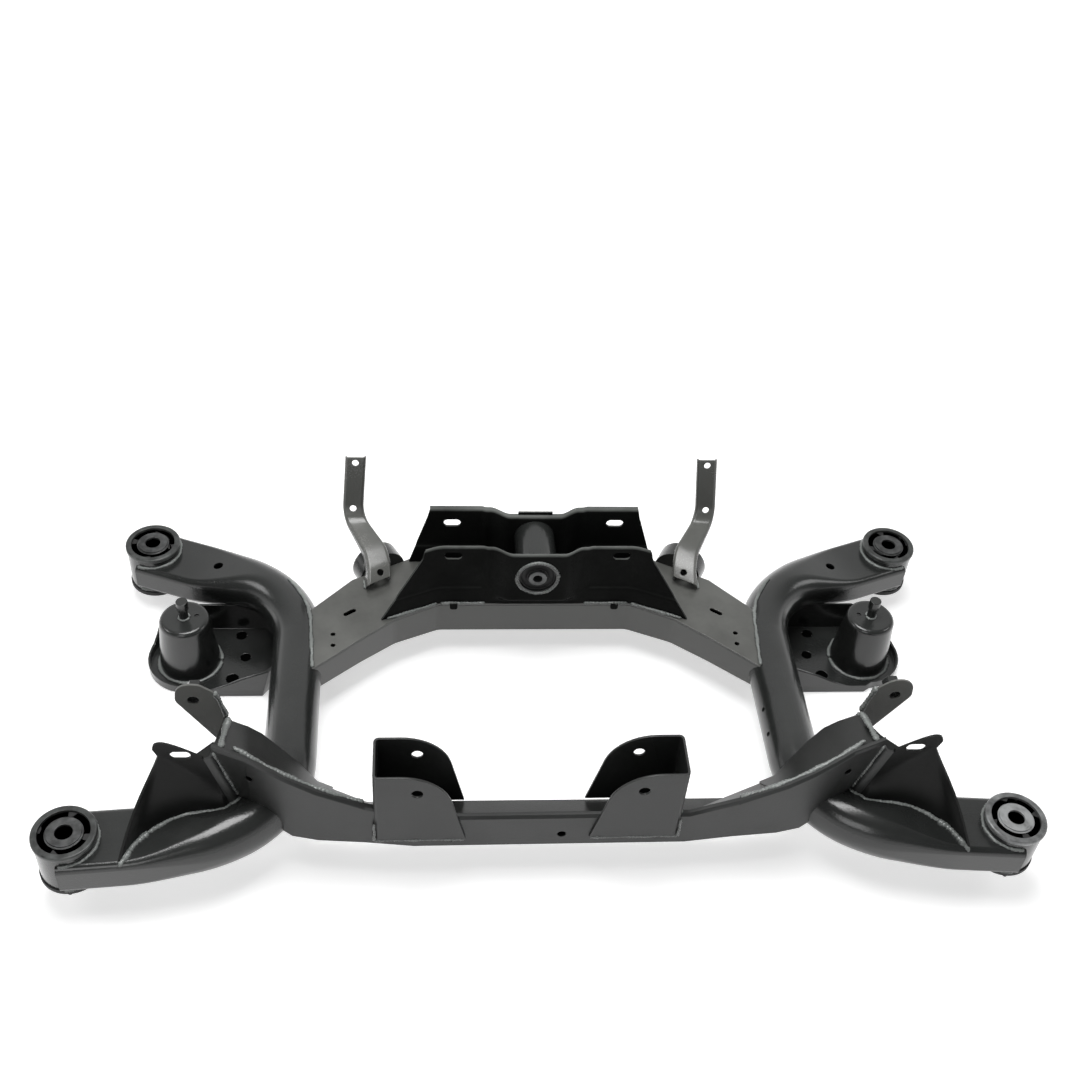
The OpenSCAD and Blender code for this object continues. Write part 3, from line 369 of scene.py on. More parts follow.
def tube_stations():
    """Stations along the left tube: place, heading, width, height and corner radius."""
    front = FRONT_CORNER - FRONT_AXIS
    run = REAR_CORNER - FRONT_CORNER
    rear = REAR_AXIS - REAR_CORNER
    heads = [math.atan2(d.y, d.x) for d in (front, run, rear)]
    turns = (heads[1] - heads[0], heads[2] - heads[1])
    front_straight = front.length - FRONT_BEND_R * math.tan(turns[0] / 2)
    rear_straight = rear.length - REAR_BEND_R * math.tan(turns[1] / 2)

    def half(axis, heading, straight, turn, radius, arm, z, lift):
        """Stations from a bush to the end of its bend."""
        rows = []
        ahead = Vector((math.cos(heading), math.sin(heading)))
        arm_steps, bend_steps = 22, 22
        for i in range(arm_steps + 1):
            s = mix(-EYE_REACH, straight, i / arm_steps)
            rows.append((axis + ahead * s, heading, s))
        start = axis + ahead * straight
        for i in range(1, bend_steps + 1):
            h = heading + turn * i / bend_steps
            step = Vector((math.sin(h) - math.sin(heading), math.cos(heading) - math.cos(h)))
            rows.append((start + radius * step, h, straight + radius * abs(turn) * i / bend_steps))
        made = []
        for place, h, s in rows:
            flat = 1 - ease((s - FLAT_LENGTH) / GROW_LENGTH)
            made.append((
                Vector((place.x, place.y, z + lift * (1 - flat))), h,
                mix(TUBE_D, arm[0], flat), mix(TUBE_D, arm[1], flat),
                mix(TUBE_D / 2, FLAT_CORNER_R, flat),
            ))
        return made

    first = half(FRONT_AXIS, heads[0], front_straight, turns[0], FRONT_BEND_R, FRONT_ARM, FRONT_Z, 0)
    flipped = half(
        Vector((REAR_AXIS.x, -REAR_AXIS.y)), math.pi - heads[2], rear_straight,
        turns[1], REAR_BEND_R, REAR_ARM, REAR_Z, REAR_LIFT,
    )
    second = [
        (Vector((p.x, -p.y, p.z)), math.pi - h, w, t, r) for p, h, w, t, r in reversed(flipped)
    ]
    a, b = first[-1], second[0]
    run_steps = 12
    middle = [
        (mix(a[0], b[0], i / run_steps), a[1], a[2], a[3], a[4]) for i in range(1, run_steps)
    ]
    return first + middle + second


STATIONS = tube_stations()


def tube_ring(station):
    """Points round one station of the tube."""
    corner_points = 12
    place, heading, width, height, r = station
    across = Vector((-math.sin(heading), math.cos(heading), 0))
    ring = []
    for q in range(4):
        for k in range(corner_points):
            a = math.pi / 2 * (q + (k + 0.5) / corner_points)
            x = (width / 2 - r) * (1 if q in (0, 3) else -1) + r * math.cos(a)
            z = (height / 2 - r) * (1 if q < 2 else -1) + r * math.sin(a)
            ring.append(place + across * x + Vector((0, 0, z)))
    return ring


def tube_top(x, y):
    """Height of the left tube's upper surface over a place in plan, or None beside it."""
    best = None
    for place, heading, width, height, r in STATIONS:
        along = (x - place.x) * math.cos(heading) + (y - place.y) * math.sin(heading)
        off = abs(-(x - place.x) * math.sin(heading) + (y - place.y) * math.cos(heading))
        if abs(along) > STATION_REACH or off >= width / 2:
            continue
        past = max(0.0, off - (width / 2 - r))
        z = place.z + height / 2 - r + math.sqrt(max(0.0, r * r - past * past))
        if best is None or abs(along) < best[0]:
            best = (abs(along), z)
    return best[1] if best else None


# Front crossmember and link bracket


def face_y(x):
    """Place of the crossmember's front face at a distance from the middle."""
    past = max(0, abs(x) - STRAIGHT_HALF) / (BEAM_END - STRAIGHT_HALF)
    return BEAM_FACE_Y + END_SWEEP * past ** 2


def lip_z(x):
    """Height of the crossmember's top edge."""
    return BEAM_TOP + END_RISE * max(0, abs(x) - RISE_FROM) / (BEAM_END - RISE_FROM)


def web_x(z):
    """Place of the left link bracket's web, which leans out."""
    return -(BEAM_END + WEB_SLANT * (z - WEB_MID_Z)) - WELD_GAP


def wing_point(t, v):
    """Point of the wing's front face: t runs outwards, v from its top edge to its foot."""
    top, crease, foot = (through(edge, t) for edge in (WING_TOP, WING_CREASE, WING_FOOT))

    def broken(w):
        """Point before the crease is softened."""
        w = max(0.0, min(1.0, w))
        if w < CREASE_AT:
            return mix(top, crease, w / CREASE_AT)
        u = (w - CREASE_AT) / (1 - CREASE_AT)
        return mix(crease, foot, u) + WING_BULGE * (math.sin(math.pi * u) * ease(BULGE_GROWTH * t))

    reach = min(CREASE_SOFT, v, 1 - v)
    total = Vector((0, 0, 0))
    for tap in SOFT_TAPS:
        total += broken(v + tap * reach)
    return total / len(SOFT_TAPS) + Vector((-BEAM_END, LINK_FRONT_Y - SHEET, 0))


def web_point(f, v):
    """Point of the web's inner face: f runs from its back edge to the fold."""
    back, knee, fold = WEB_TOPS
    if f < WEB_KNEE:
        top = mix(back, knee, f / WEB_KNEE)
    else:
        top = mix(knee, fold, (f - WEB_KNEE) / (1 - WEB_KNEE))
    foot = mix(0, WEB_FOOT, min(1, f / WEB_KNEE))
    if v < CREASE_AT:
        drop = WEB_CREASE_DROP * v / CREASE_AT
    else:
        drop = mix(WEB_CREASE_DROP, 1, (v - CREASE_AT) / (1 - CREASE_AT))
    z = mix(top, foot, drop)
    return Vector((web_x(z), mix(LINK_BACK_Y, LINK_FRONT_Y - SHEET + FOLD_R, f), z))


def fold_point(a, v):
    """Point of the round fold between the web and the wing, at an angle from 0 to 90 degrees."""
    p = web_point(1, v)
    return Vector((p.x - FOLD_R * (1 - math.cos(a)), p.y - FOLD_R * math.sin(a), p.z))


def wing_start(v):
    """Value of t at which the wing leaves the fold."""
    corner = web_point(1, v).x - FOLD_R
    return turning_value(0.0, 0.5, lambda t: wing_point(t, v).x > corner)


def ends_on_tube(point):
    """Value of v at which a column of points meets the side tube."""
    def outside(v):
        """True where the column has not yet sunk into the tube."""
        p = point(v)
        top = tube_top(p.x, p.y)
        return top is None or p.z >= top - FOOT_SINK

    return turning_value(0.3, 1.0, outside)


def link_columns(rows=26):
    """Columns of the left link bracket's folded sheet, from the back of its web to the wing's edge."""
    web_steps, fold_steps, wing_steps = 9, 5, 40
    columns = [lambda v, f=i / web_steps: web_point(f, v) for i in range(web_steps + 1)]
    for i in range(1, fold_steps + 1):
        columns.append(lambda v, a=math.radians(90 * i / fold_steps): fold_point(a, v))
    for i in range(1, wing_steps + 1):
        columns.append(lambda v, k=i / wing_steps: wing_point(mix(wing_start(v), 1, k), v))
    made = []
    for point in columns:
        end = ends_on_tube(point)
        made.append([point(end * j / (rows - 1)) for j in range(rows)])
    return made


# Pressed plates and stays


def plate_point(plate, u, z):
    """Point of a pressed plate's front face: u from side to side, z its height."""
    corner_from = plate.top - PLATE_CORNER_H
    up = (z - PLATE_FOOT) / (corner_from - PLATE_FOOT)
    half = mix(plate.foot_half, plate.top_half, min(1, up))
    half -= plate.corner * max(0, z - corner_from) / PLATE_CORNER_H
    x = u * half
    pocket = ease((POCKET_EDGE - abs(x)) / (POCKET_EDGE - POCKET_FLAT))
    out = abs(x) - PLATE_BEND_FROM
    soft = PLATE_BEND_SOFT
    bend = max(0, out) if abs(out) > soft else (out + soft) ** 2 / (4 * soft)
    y = plate.front - JOGGLE * pocket * ease((z - POCKET_FOOT) / POCKET_RISE)
    y -= plate.sweep / PLATE_BEND_LENGTH * bend
    y += RECESS * ease((z - RECESS_FOOT) / RECESS_RISE) * ease((abs(x) - RECESS_EDGE) / RECESS_SIDE)
    return Vector((x, y, z))


def plate_rows(plate):
    """Rows of a pressed plate from its foot to the end of its top flange."""
    columns, steps = 121, 34
    top, flange = plate.top, plate.flange
    r = min(FLANGE_R, flange)
    places = [(mix(PLATE_FOOT, top - r, i / steps), 0) for i in range(steps + 1)]
    for a in (22.5, 45, 67.5, 90):
        t = math.radians(a)
        places.append((top - r + r * math.sin(t), r * (1 - math.cos(t))))
    if flange > r:
        places.append((top, flange))
    across = [2 * j / (columns - 1) - 1 for j in range(columns)]
    return [
        [plate_point(plate, u, z) + Vector((0, back, 0)) for u in across] for z, back in places
    ]


def stay_at(s):
    """Place, turn, width and flange depth at a distance from the left stay's top, and its length."""
    lengths = [0.0]
    for a, b in zip(STAY_ROWS, STAY_ROWS[1:]):
        lengths.append(lengths[-1] + (Vector(b[0]) - Vector(a[0])).length)

    def plain(at):
        """Values before the bends are softened."""
        i = 0
        while i < len(STAY_ROWS) - 2 and lengths[i + 1] < at:
            i += 1
        t = (at - lengths[i]) / (lengths[i + 1] - lengths[i])
        a, b = STAY_ROWS[i], STAY_ROWS[i + 1]
        return (mix(Vector(a[0]), Vector(b[0]), t), *(mix(p, q, t) for p, q in zip(a[1:], b[1:])))

    reach = max(0.0, min(STAY_SOFT, s, lengths[-1] - s))
    taps = [plain(s + k * reach) for k in SOFT_TAPS]
    place = sum((t[0] for t in taps), Vector((0, 0, 0))) / len(taps)
    return (place, *(sum(t[k] for t in taps) / len(taps) for k in (1, 2, 3))), lengths[-1]


def stay_frame(s):
    """Place, direction across, outward normal, half width and flange depth of the left stay."""
    (place, turn, width, depth), length = stay_at(s)
    a, b = (stay_at(near)[0][0] for near in (max(0, s - STAY_PROBE), min(length, s + STAY_PROBE)))
    along = (b - a).normalized()
    across = Vector((math.cos(math.radians(turn)), math.sin(math.radians(turn)), 0))
    return place, across, along.cross(across).normalized(), width / 2, depth


def stay_rows():
    """Sections of the left stay: two flanges and a web with rounded folds."""
    steps, r = 56, STAY_FOLD_R
    length = stay_at(0)[1]
    rows = []
    for i in range(steps + 1):
        place, across, out, half, depth = stay_frame(length * i / steps)
        flat = [(-half, -depth), (-half, -(depth + r) / 2)]
        for a in range(0, 91, 15):
            t = math.radians(a)
            flat.append((-half + r * (1 - math.cos(t)), -r + r * math.sin(t)))
        flat += [(0, 0)] + [(-x, y) for x, y in reversed(flat)]
        rows.append([place + across * x + out * y for x, y in flat])
    return rows


# Mesh helpers


def loft(bm, rows, closed):
    """Surface through rows of points: the first row is laid out, then extruded from row to row."""
    count = len(rows[0])
    if closed:
        line = list(bmesh.ops.create_circle(bm, segments=count, radius=1.0)["verts"])
    else:
        line = [bm.verts.new(p) for p in rows[0]]
        for a, b in zip(line, line[1:]):
            bm.edges.new((a, b))
    for vert, place in zip(line, rows[0]):
        vert.co = place
    inside = set(line)
    edges = [e for e in bm.edges if e.verts[0] in inside and e.verts[1] in inside]
    first_edges = edges
    for row in rows[1:]:
        index = {vert: i for i, vert in enumerate(line)}
        made = bmesh.ops.extrude_edge_only(bm, edges=edges)["geom"]
        edges = [g for g in made if isinstance(g, bmesh.types.BMEdge)]
        line = [None] * count
        for vert in (g for g in made if isinstance(g, bmesh.types.BMVert)):
            for edge in vert.link_edges:
                other = edge.other_vert(vert)
                if other in index:
                    line[index[other]] = vert
        for vert, place in zip(line, row):
            vert.co = place
        inside = set(line)
        edges = [e for e in edges if e.verts[0] in inside and e.verts[1] in inside]
    return first_edges, edges


def cap(bm, *loops):
    """Closes the open ends of a lofted shape."""
    for edges in loops:
        bmesh.ops.edgeloop_fill(bm, edges=edges)


def add_object(name, bm):
    """Object at the origin with the mesh of bm."""
    mesh = bpy.data.meshes.new(name)
    bm.to_mesh(mesh)
    bm.free()
    made = bpy.data.objects.new(name, mesh)
    bpy.context.scene.collection.objects.link(made)
    return made


def settle(piece):
    """Makes the result of a piece's modifiers its mesh."""
    graph = bpy.context.evaluated_depsgraph_get()
    mesh = bpy.data.meshes.new_from_object(piece.evaluated_get(graph))
    old = piece.data
    piece.modifiers.clear()
    piece.data = mesh
    bpy.data.meshes.remove(old)


def cut(piece, *shapes):
    """Cuts closed shapes out of a piece."""
    tools = [add_object("cutter", shape) for shape in shapes]
    for tool in tools:
        step = piece.modifiers.new("cut", "BOOLEAN")
        step.operation = "DIFFERENCE"
        step.solver = "EXACT"
        step.object = tool
    settle(piece)
    for tool in tools:
        mesh = tool.data
        bpy.data.objects.remove(tool)
        bpy.data.meshes.remove(mesh)


def rod(place, axis, diameter, length, segments=40, stretch=0.0):
    """Closed cylinder, or the shape of a slot where it is stretched along X."""
    bm = bmesh.new()
    bmesh.ops.create_cone(
        bm, cap_ends=True, segments=segments, radius1=diameter / 2 * MM,
        radius2=diameter / 2 * MM, depth=length * MM,
    )
    turn = Vector(UP).rotation_difference(Vector(axis)).to_matrix().to_4x4()
    bmesh.ops.transform(bm, matrix=turn, verts=bm.verts)
    if stretch:
        for vert in bm.verts:
            vert.co.x += math.copysign(stretch / 2 * MM, vert.co.x)
    bmesh.ops.translate(bm, vec=Vector(place) * MM, verts=bm.verts)
    bmesh.ops.recalc_face_normals(bm, faces=bm.faces)
    return bm


def round_rim(piece, width, clamp=False):
    """Rounds the cut edges of a piece."""
    bm = bmesh.new()
    bm.from_mesh(piece.data)
    bmesh.ops.remove_doubles(bm, verts=bm.verts, dist=MERGE)
    round_edges(bm, turned_edges(bm, RIM_FROM, 180), width, segments=2, clamp=clamp)
    bm.to_mesh(piece.data)
    bm.free()


def pressed_sheet(name, rows, thickness, front):
    """Sheet through rows of points, thickened away from its front side."""
    bm = bmesh.new()
    loft(bm, rows, False)
    bm.normal_update()
    facing = sum((f.normal * f.calc_area() for f in bm.faces), Vector((0, 0, 0)))
    if facing.dot(Vector(front)) < 0:
        bmesh.ops.reverse_faces(bm, faces=bm.faces)
    piece = add_object(name, bm)
    skin = piece.modifiers.new("sheet", "SOLIDIFY")
    skin.thickness = thickness * MM
    skin.offset = -1.0
    settle(piece)
    return piece


def block(middle, size, round_by=0.0):
    """Block about a place, with its lower edges along Y rounded where round_by is given."""
    bm = bmesh.new()
    bmesh.ops.create_cube(bm, size=1.0)
    bmesh.ops.scale(bm, vec=Vector(size) * MM, verts=bm.verts)
    bmesh.ops.translate(bm, vec=Vector(middle) * MM, verts=bm.verts)
    if round_by:
        low = middle[2] * MM
        ends = [
            e for e in bm.edges
            if abs(e.verts[0].co.y - e.verts[1].co.y) > 1e-6 and e.verts[0].co.z < low
        ]
        round_edges(bm, ends, round_by * MM, segments=6)
    return bm


def flat_sheet(corners, depth):
    """Sheet with an outline of corners, thickened by the vector depth."""
    bm = bmesh.new()
    verts = [bm.verts.new(Vector(p) * MM) for p in corners]
    made = bmesh.ops.extrude_face_region(bm, geom=[bm.faces.new(verts)])["geom"]
    moved = [g for g in made if isinstance(g, bmesh.types.BMVert)]
    bmesh.ops.translate(bm, vec=Vector(depth) * MM, verts=moved)
    bmesh.ops.recalc_face_normals(bm, faces=bm.faces)
    return bm


def join(bm, part):
    """Moves the mesh of part into bm."""
    mesh = bpy.data.meshes.new("joined")
    part.to_mesh(mesh)
    part.free()
    bm.from_mesh(mesh)
    bpy.data.meshes.remove(mesh)


def turned_edges(bm, low, high):
    """Edges whose faces meet at an angle between low and high degrees."""
    low, high = math.radians(low), math.radians(high)
    return [e for e in bm.edges if len(e.link_faces) == 2 and low < e.calc_face_angle(0) <= high]


def round_edges(bm, edges, width, segments, clamp=False):
    """Rounds edges to a width."""
    if edges:
        bmesh.ops.bevel(
            bm, geom=edges, offset=width, offset_type="OFFSET", segments=segments,
            profile=0.5, affect="EDGES", clamp_overlap=clamp, material=-1,
        )


def dress(piece, finish, nodes=(), angle=32.0):
    """Gives a piece its finish and shading and seats it on the frame."""
    mesh = piece.data
    if "custom_normal" in mesh.attributes:
        mesh.attributes.remove(mesh.attributes["custom_normal"])
    mesh.materials.clear()
    mesh.materials.append(finish)
    mesh.shade_smooth()
    mesh.set_sharp_from_angle(angle=math.radians(angle))
    even = piece.modifiers.new("even_shading", "WEIGHTED_NORMAL")
    even.keep_sharp = True
    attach(piece, "root")
    if nodes:
        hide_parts(*nodes)
    return piece


def soft_copy(node, finish, crease=0.0, edge_from=50, edge=None):
    """Copy of a solid with rounded edges, and wide soft folds where crease is given."""
    sizes = bpy.context.scene.subframe_sizes
    bm = bmesh.new()
    bm.from_mesh(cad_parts[node].data)
    bmesh.ops.remove_doubles(bm, verts=bm.verts, dist=MERGE)
    bmesh.ops.dissolve_degenerate(bm, edges=bm.edges, dist=SHORTEST_EDGE)
    bmesh.ops.dissolve_limit(
        bm, angle_limit=math.radians(FLAT_ANGLE), verts=bm.verts, edges=bm.edges,
    )
    if crease:
        folds = turned_edges(bm, FOLD_FROM, edge_from)
        folds = [e for e in folds if e.calc_length() >= SHORTEST_FOLD]
        round_edges(bm, folds, crease, segments=4)
    round_edges(bm, turned_edges(bm, edge_from, 180), edge or sizes.edge_round, segments=2)
    bmesh.ops.remove_doubles(bm, verts=bm.verts, dist=LAST_MERGE)
    return dress(add_object(node + "_dressed", bm), finish, (node,))


# Weld beads


def resample(points, step):
    """Points at even steps along a line, and the length of the line."""
    points = [Vector(p) for p in points]
    lengths = [0.0]
    for a, b in zip(points, points[1:]):
        lengths.append(lengths[-1] + (b - a).length)
    count = max(4, int(lengths[-1] / step))
    made, i = [], 0
    for k in range(count + 1):
        s = lengths[-1] * k / count
        while i < len(points) - 2 and lengths[i + 1] < s:
            i += 1
        part = max(1e-9, lengths[i + 1] - lengths[i])
        made.append(mix(points[i], points[i + 1], (s - lengths[i]) / part))
    return made, lengths[-1]


def wave(s, size, pace, phase):
    """Sine wave along a bead."""
    return size * math.sin(s * pace + phase)


def bead_rows(points, radius, pitch):
    """Rings of a rippled bead with tapered ends, along a line of points in millimetres."""
    places, length = resample(points, pitch / RIPPLE_STEPS)
    rows = []
    last = len(places) - 1
    for i, place in enumerate(places):
        ahead = places[min(last, i + 1)] - places[max(0, i - 1)]
        ahead.normalize()
        side = ahead.cross(Vector(UP))
        nearly_upright = side.length < 0.2
        if nearly_upright:
            side = ahead.cross(Vector(BACK))
        side.normalize()
        up = side.cross(ahead)
        s = length * i / last
        ripple = abs(math.sin(math.pi * s / pitch + wave(s, *RIPPLE_DRIFT)))
        wander = sum(wave(s, *turn) for turn in WANDER)
        size = radius * (RIPPLE[0] + RIPPLE[1] * ripple) * (1 + wave(s, *SWELL))
        from_end = max(0.0, 1 - min(s, length - s) / (BEAD_TAPER * radius))
        size *= math.sqrt(max(BEAD_TIP, 1 - from_end ** 2))
        row = []
        for k in range(BEAD_POINTS):
            a = 2 * math.pi * k / BEAD_POINTS
            out = side * (size * math.cos(a) + wander)
            row.append((place + out + up * (BEAD_FLATNESS * size * math.sin(a))) * MM)
        rows.append(row)
    return rows


def bead_piece(name, lines, finish):
    """One piece with a bead along each of several lines."""
    sizes = bpy.context.scene.subframe_sizes
    bm = bmesh.new()
    for points, scale in lines:
        part = bmesh.new()
        rows = bead_rows(points, sizes.bead_radius / MM * scale, sizes.bead_pitch / MM)
        cap(part, *loft(part, rows, True))
        bmesh.ops.recalc_face_normals(part, faces=part.faces)
        join(bm, part)
    return dress(add_object(name, bm), finish, angle=60)


def circle_line(middle, radius, start, stop, axis="Z", count=72):
    """Arc of points about an axis, in degrees."""
    made = []
    for i in range(count + 1):
        a = math.radians(mix(start, stop, i / count))
        c, s = radius * math.cos(a), radius * math.sin(a)
        made.append(Vector(middle) + (Vector((c, s, 0)) if axis == "Z" else Vector((c, 0, s))))
    return made


# Finishes


def add_node(tree, kind, settings=None, inputs=None):
    """Shader node with its settings and inputs; an input is a value or another node's socket."""
    made = tree.nodes.new(kind)
    for key, value in (settings or {}).items():
        setattr(made, key, value)
    for key, value in (inputs or {}).items():
        if isinstance(value, bpy.types.NodeSocket):
            tree.links.new(value, made.inputs[key])
        else:
            made.inputs[key].default_value = value
    return made


def new_group(name, inputs):
    """Empty node group of a surface: inputs are colours or numbers, outputs those of SURFACE."""
    group = bpy.data.node_groups.new(name, "ShaderNodeTree")
    for label, value in inputs.items():
        kind = "NodeSocketColor" if isinstance(value, tuple) else "NodeSocketFloat"
        socket = group.interface.new_socket(label, in_out="INPUT", socket_type=kind)
        socket.default_value = value
    for label, kind in SURFACE:
        group.interface.new_socket(label, in_out="OUTPUT", socket_type=kind)
    return group, group.nodes.new("NodeGroupInput"), group.nodes.new("NodeGroupOutput")


def close_group(group, result, *sockets):
    """Links a surface's colour, roughness and height to the outputs of its group."""
    for (label, _), socket in zip(SURFACE, sockets):
        group.links.new(socket, result.inputs[label])
    return group


def ramp(tree, socket, low, high, bottom=0.0, top=1.0):
    """Value from bottom to top while the socket goes from low to high."""
    return add_node(tree, "ShaderNodeMapRange", {"clamp": True}, {
        "Value": socket, "From Min": low, "From Max": high, "To Min": bottom, "To Max": top,
    }).outputs["Result"]


def maths(tree, operation, *values):
    """Result of an operation on sockets and numbers."""
    made = add_node(tree, "ShaderNodeMath", {"operation": operation}, dict(enumerate(values)))
    return made.outputs["Value"]


def noise(tree, place, scale, detail, roughness=0.5):
    """Cloudy value at a place."""
    return add_node(tree, "ShaderNodeTexNoise", None, {
        "Vector": place, "Scale": scale, "Detail": detail, "Roughness": roughness,
    }).outputs["Fac"]


def blend(tree, amount, first, second):
    """Colour between two colours. The node has sockets of one name for each type, so they are numbered."""
    factor, colour_a, colour_b, colour_result = 0, 6, 7, 2
    return add_node(tree, "ShaderNodeMix", {"data_type": "RGBA"}, {
        factor: amount, colour_a: first, colour_b: second,
    }).outputs[colour_result]


def peel_group():
    """Sprayed paint: blotches of two colours, speckle in the gloss and an orange-peel height. The pale
    colour is painted light on upward faces, laid in patches that also stand for dust.
    """
    group, entry, result = new_group("sprayed_paint", {
        "Deep Colour": (0.02, 0.02, 0.02, 1), "Top Light Colour": (0.05, 0.05, 0.05, 1),
        "Smooth": 0.25, "Rough": 0.5, "Grain": 420.0,
    })
    given = entry.outputs
    place = add_node(group, "ShaderNodeTexCoord").outputs["Object"]
    cloud = noise(group, place, scale=9.0, detail=5.0, roughness=0.62)
    fine = noise(group, place, scale=given["Grain"], detail=2.0)
    specks = add_node(group, "ShaderNodeTexVoronoi", {"feature": "F1"}, {
        "Vector": place, "Scale": 310.0, "Randomness": 1.0,
    }).outputs["Distance"]
    facing = add_node(group, "ShaderNodeNewGeometry").outputs["Normal"]
    up = add_node(group, "ShaderNodeSeparateXYZ", None, {"Vector": facing}).outputs["Z"]
    # Upward faces take the pale colour: painted light from above, in cloudy patches that also stand for
    # dust.
    level = ramp(group, up, low=0.2, high=1.0, bottom=0.06)
    patches = ramp(group, cloud, low=0.34, high=0.62, bottom=0.4)
    dust_and_top_light = maths(group, "MULTIPLY", level, patches)
    colour = blend(group, dust_and_top_light, given["Deep Colour"], given["Top Light Colour"])
    pits = ramp(group, specks, low=0.12, high=0.42)
    dull = ramp(group, cloud, low=0.3, high=0.7, top=0.45)
    spread = maths(group, "MULTIPLY_ADD", fine, 0.55, dull)
    rough = ramp(group, spread, 0.1, 0.9, bottom=given["Smooth"], top=given["Rough"])
    height = maths(group, "MULTIPLY_ADD", pits, 0.35, fine)
    return close_group(group, result, colour, rough, height)


def wear_group():
    """Rubbed and stained surface: fine scratches along Z and soft stains."""
    group, entry, result = new_group("rubbed_surface", {
        "Clean Colour": (0.4, 0.4, 0.4, 1), "Stain Colour": (0.2, 0.19, 0.17, 1),
        "Smooth": 0.25, "Rough": 0.5,
    })
    given = entry.outputs
    place = add_node(group, "ShaderNodeTexCoord").outputs["Object"]
    stretched = add_node(group, "ShaderNodeMapping", None, {
        "Vector": place, "Scale": (900.0, 900.0, 60.0),
    }).outputs["Vector"]
    lines = noise(group, stretched, scale=1.0, detail=2.0)
    stains = noise(group, place, scale=55.0, detail=5.0, roughness=0.6)
    mask = ramp(group, stains, low=0.42, high=0.68)
    colour = blend(group, mask, given["Clean Colour"], given["Stain Colour"])
    dull = ramp(group, stains, low=0.4, high=0.7, top=0.4)
    spread = maths(group, "MULTIPLY_ADD", lines, 0.6, dull)
    rough = ramp(group, spread, 0.15, 0.85, bottom=given["Smooth"], top=given["Rough"])
    return close_group(group, result, colour, rough, lines)


def finish_of(name, group, inputs, bump, depth, metallic=0.0, coat=0.0, specular=0.5):
    """Material that takes colour, roughness and bump from a node group."""
    made = bpy.data.materials.new(name)
    made.use_nodes = True
    tree = made.node_tree
    shader = tree.nodes["Principled BSDF"]
    surface = add_node(tree, "ShaderNodeGroup", {"node_tree": group}, inputs)
    dent = add_node(tree, "ShaderNodeBump", None, {
        "Strength": bump, "Distance": depth, "Height": surface.outputs["Height"],
    })
    tree.links.new(surface.outputs["Colour"], shader.inputs["Base Color"])
    tree.links.new(surface.outputs["Roughness"], shader.inputs["Roughness"])
    tree.links.new(dent.outputs["Normal"], shader.inputs["Normal"])
    shader.inputs["Metallic"].default_value = metallic
    shader.inputs["Coat Weight"].default_value = coat
    shader.inputs["Coat Roughness"].default_value = COAT_ROUGHNESS
    shader.inputs["Specular IOR Level"].default_value = specular
    made.diffuse_color = (*inputs[list(inputs)[0]][:3], 1)
    return made


def shade(colour, factor):
    """Colour with an alpha of 1, lighter or darker by a factor."""
    return tuple(min(1.0, c * factor) for c in colour) + (1.0,)


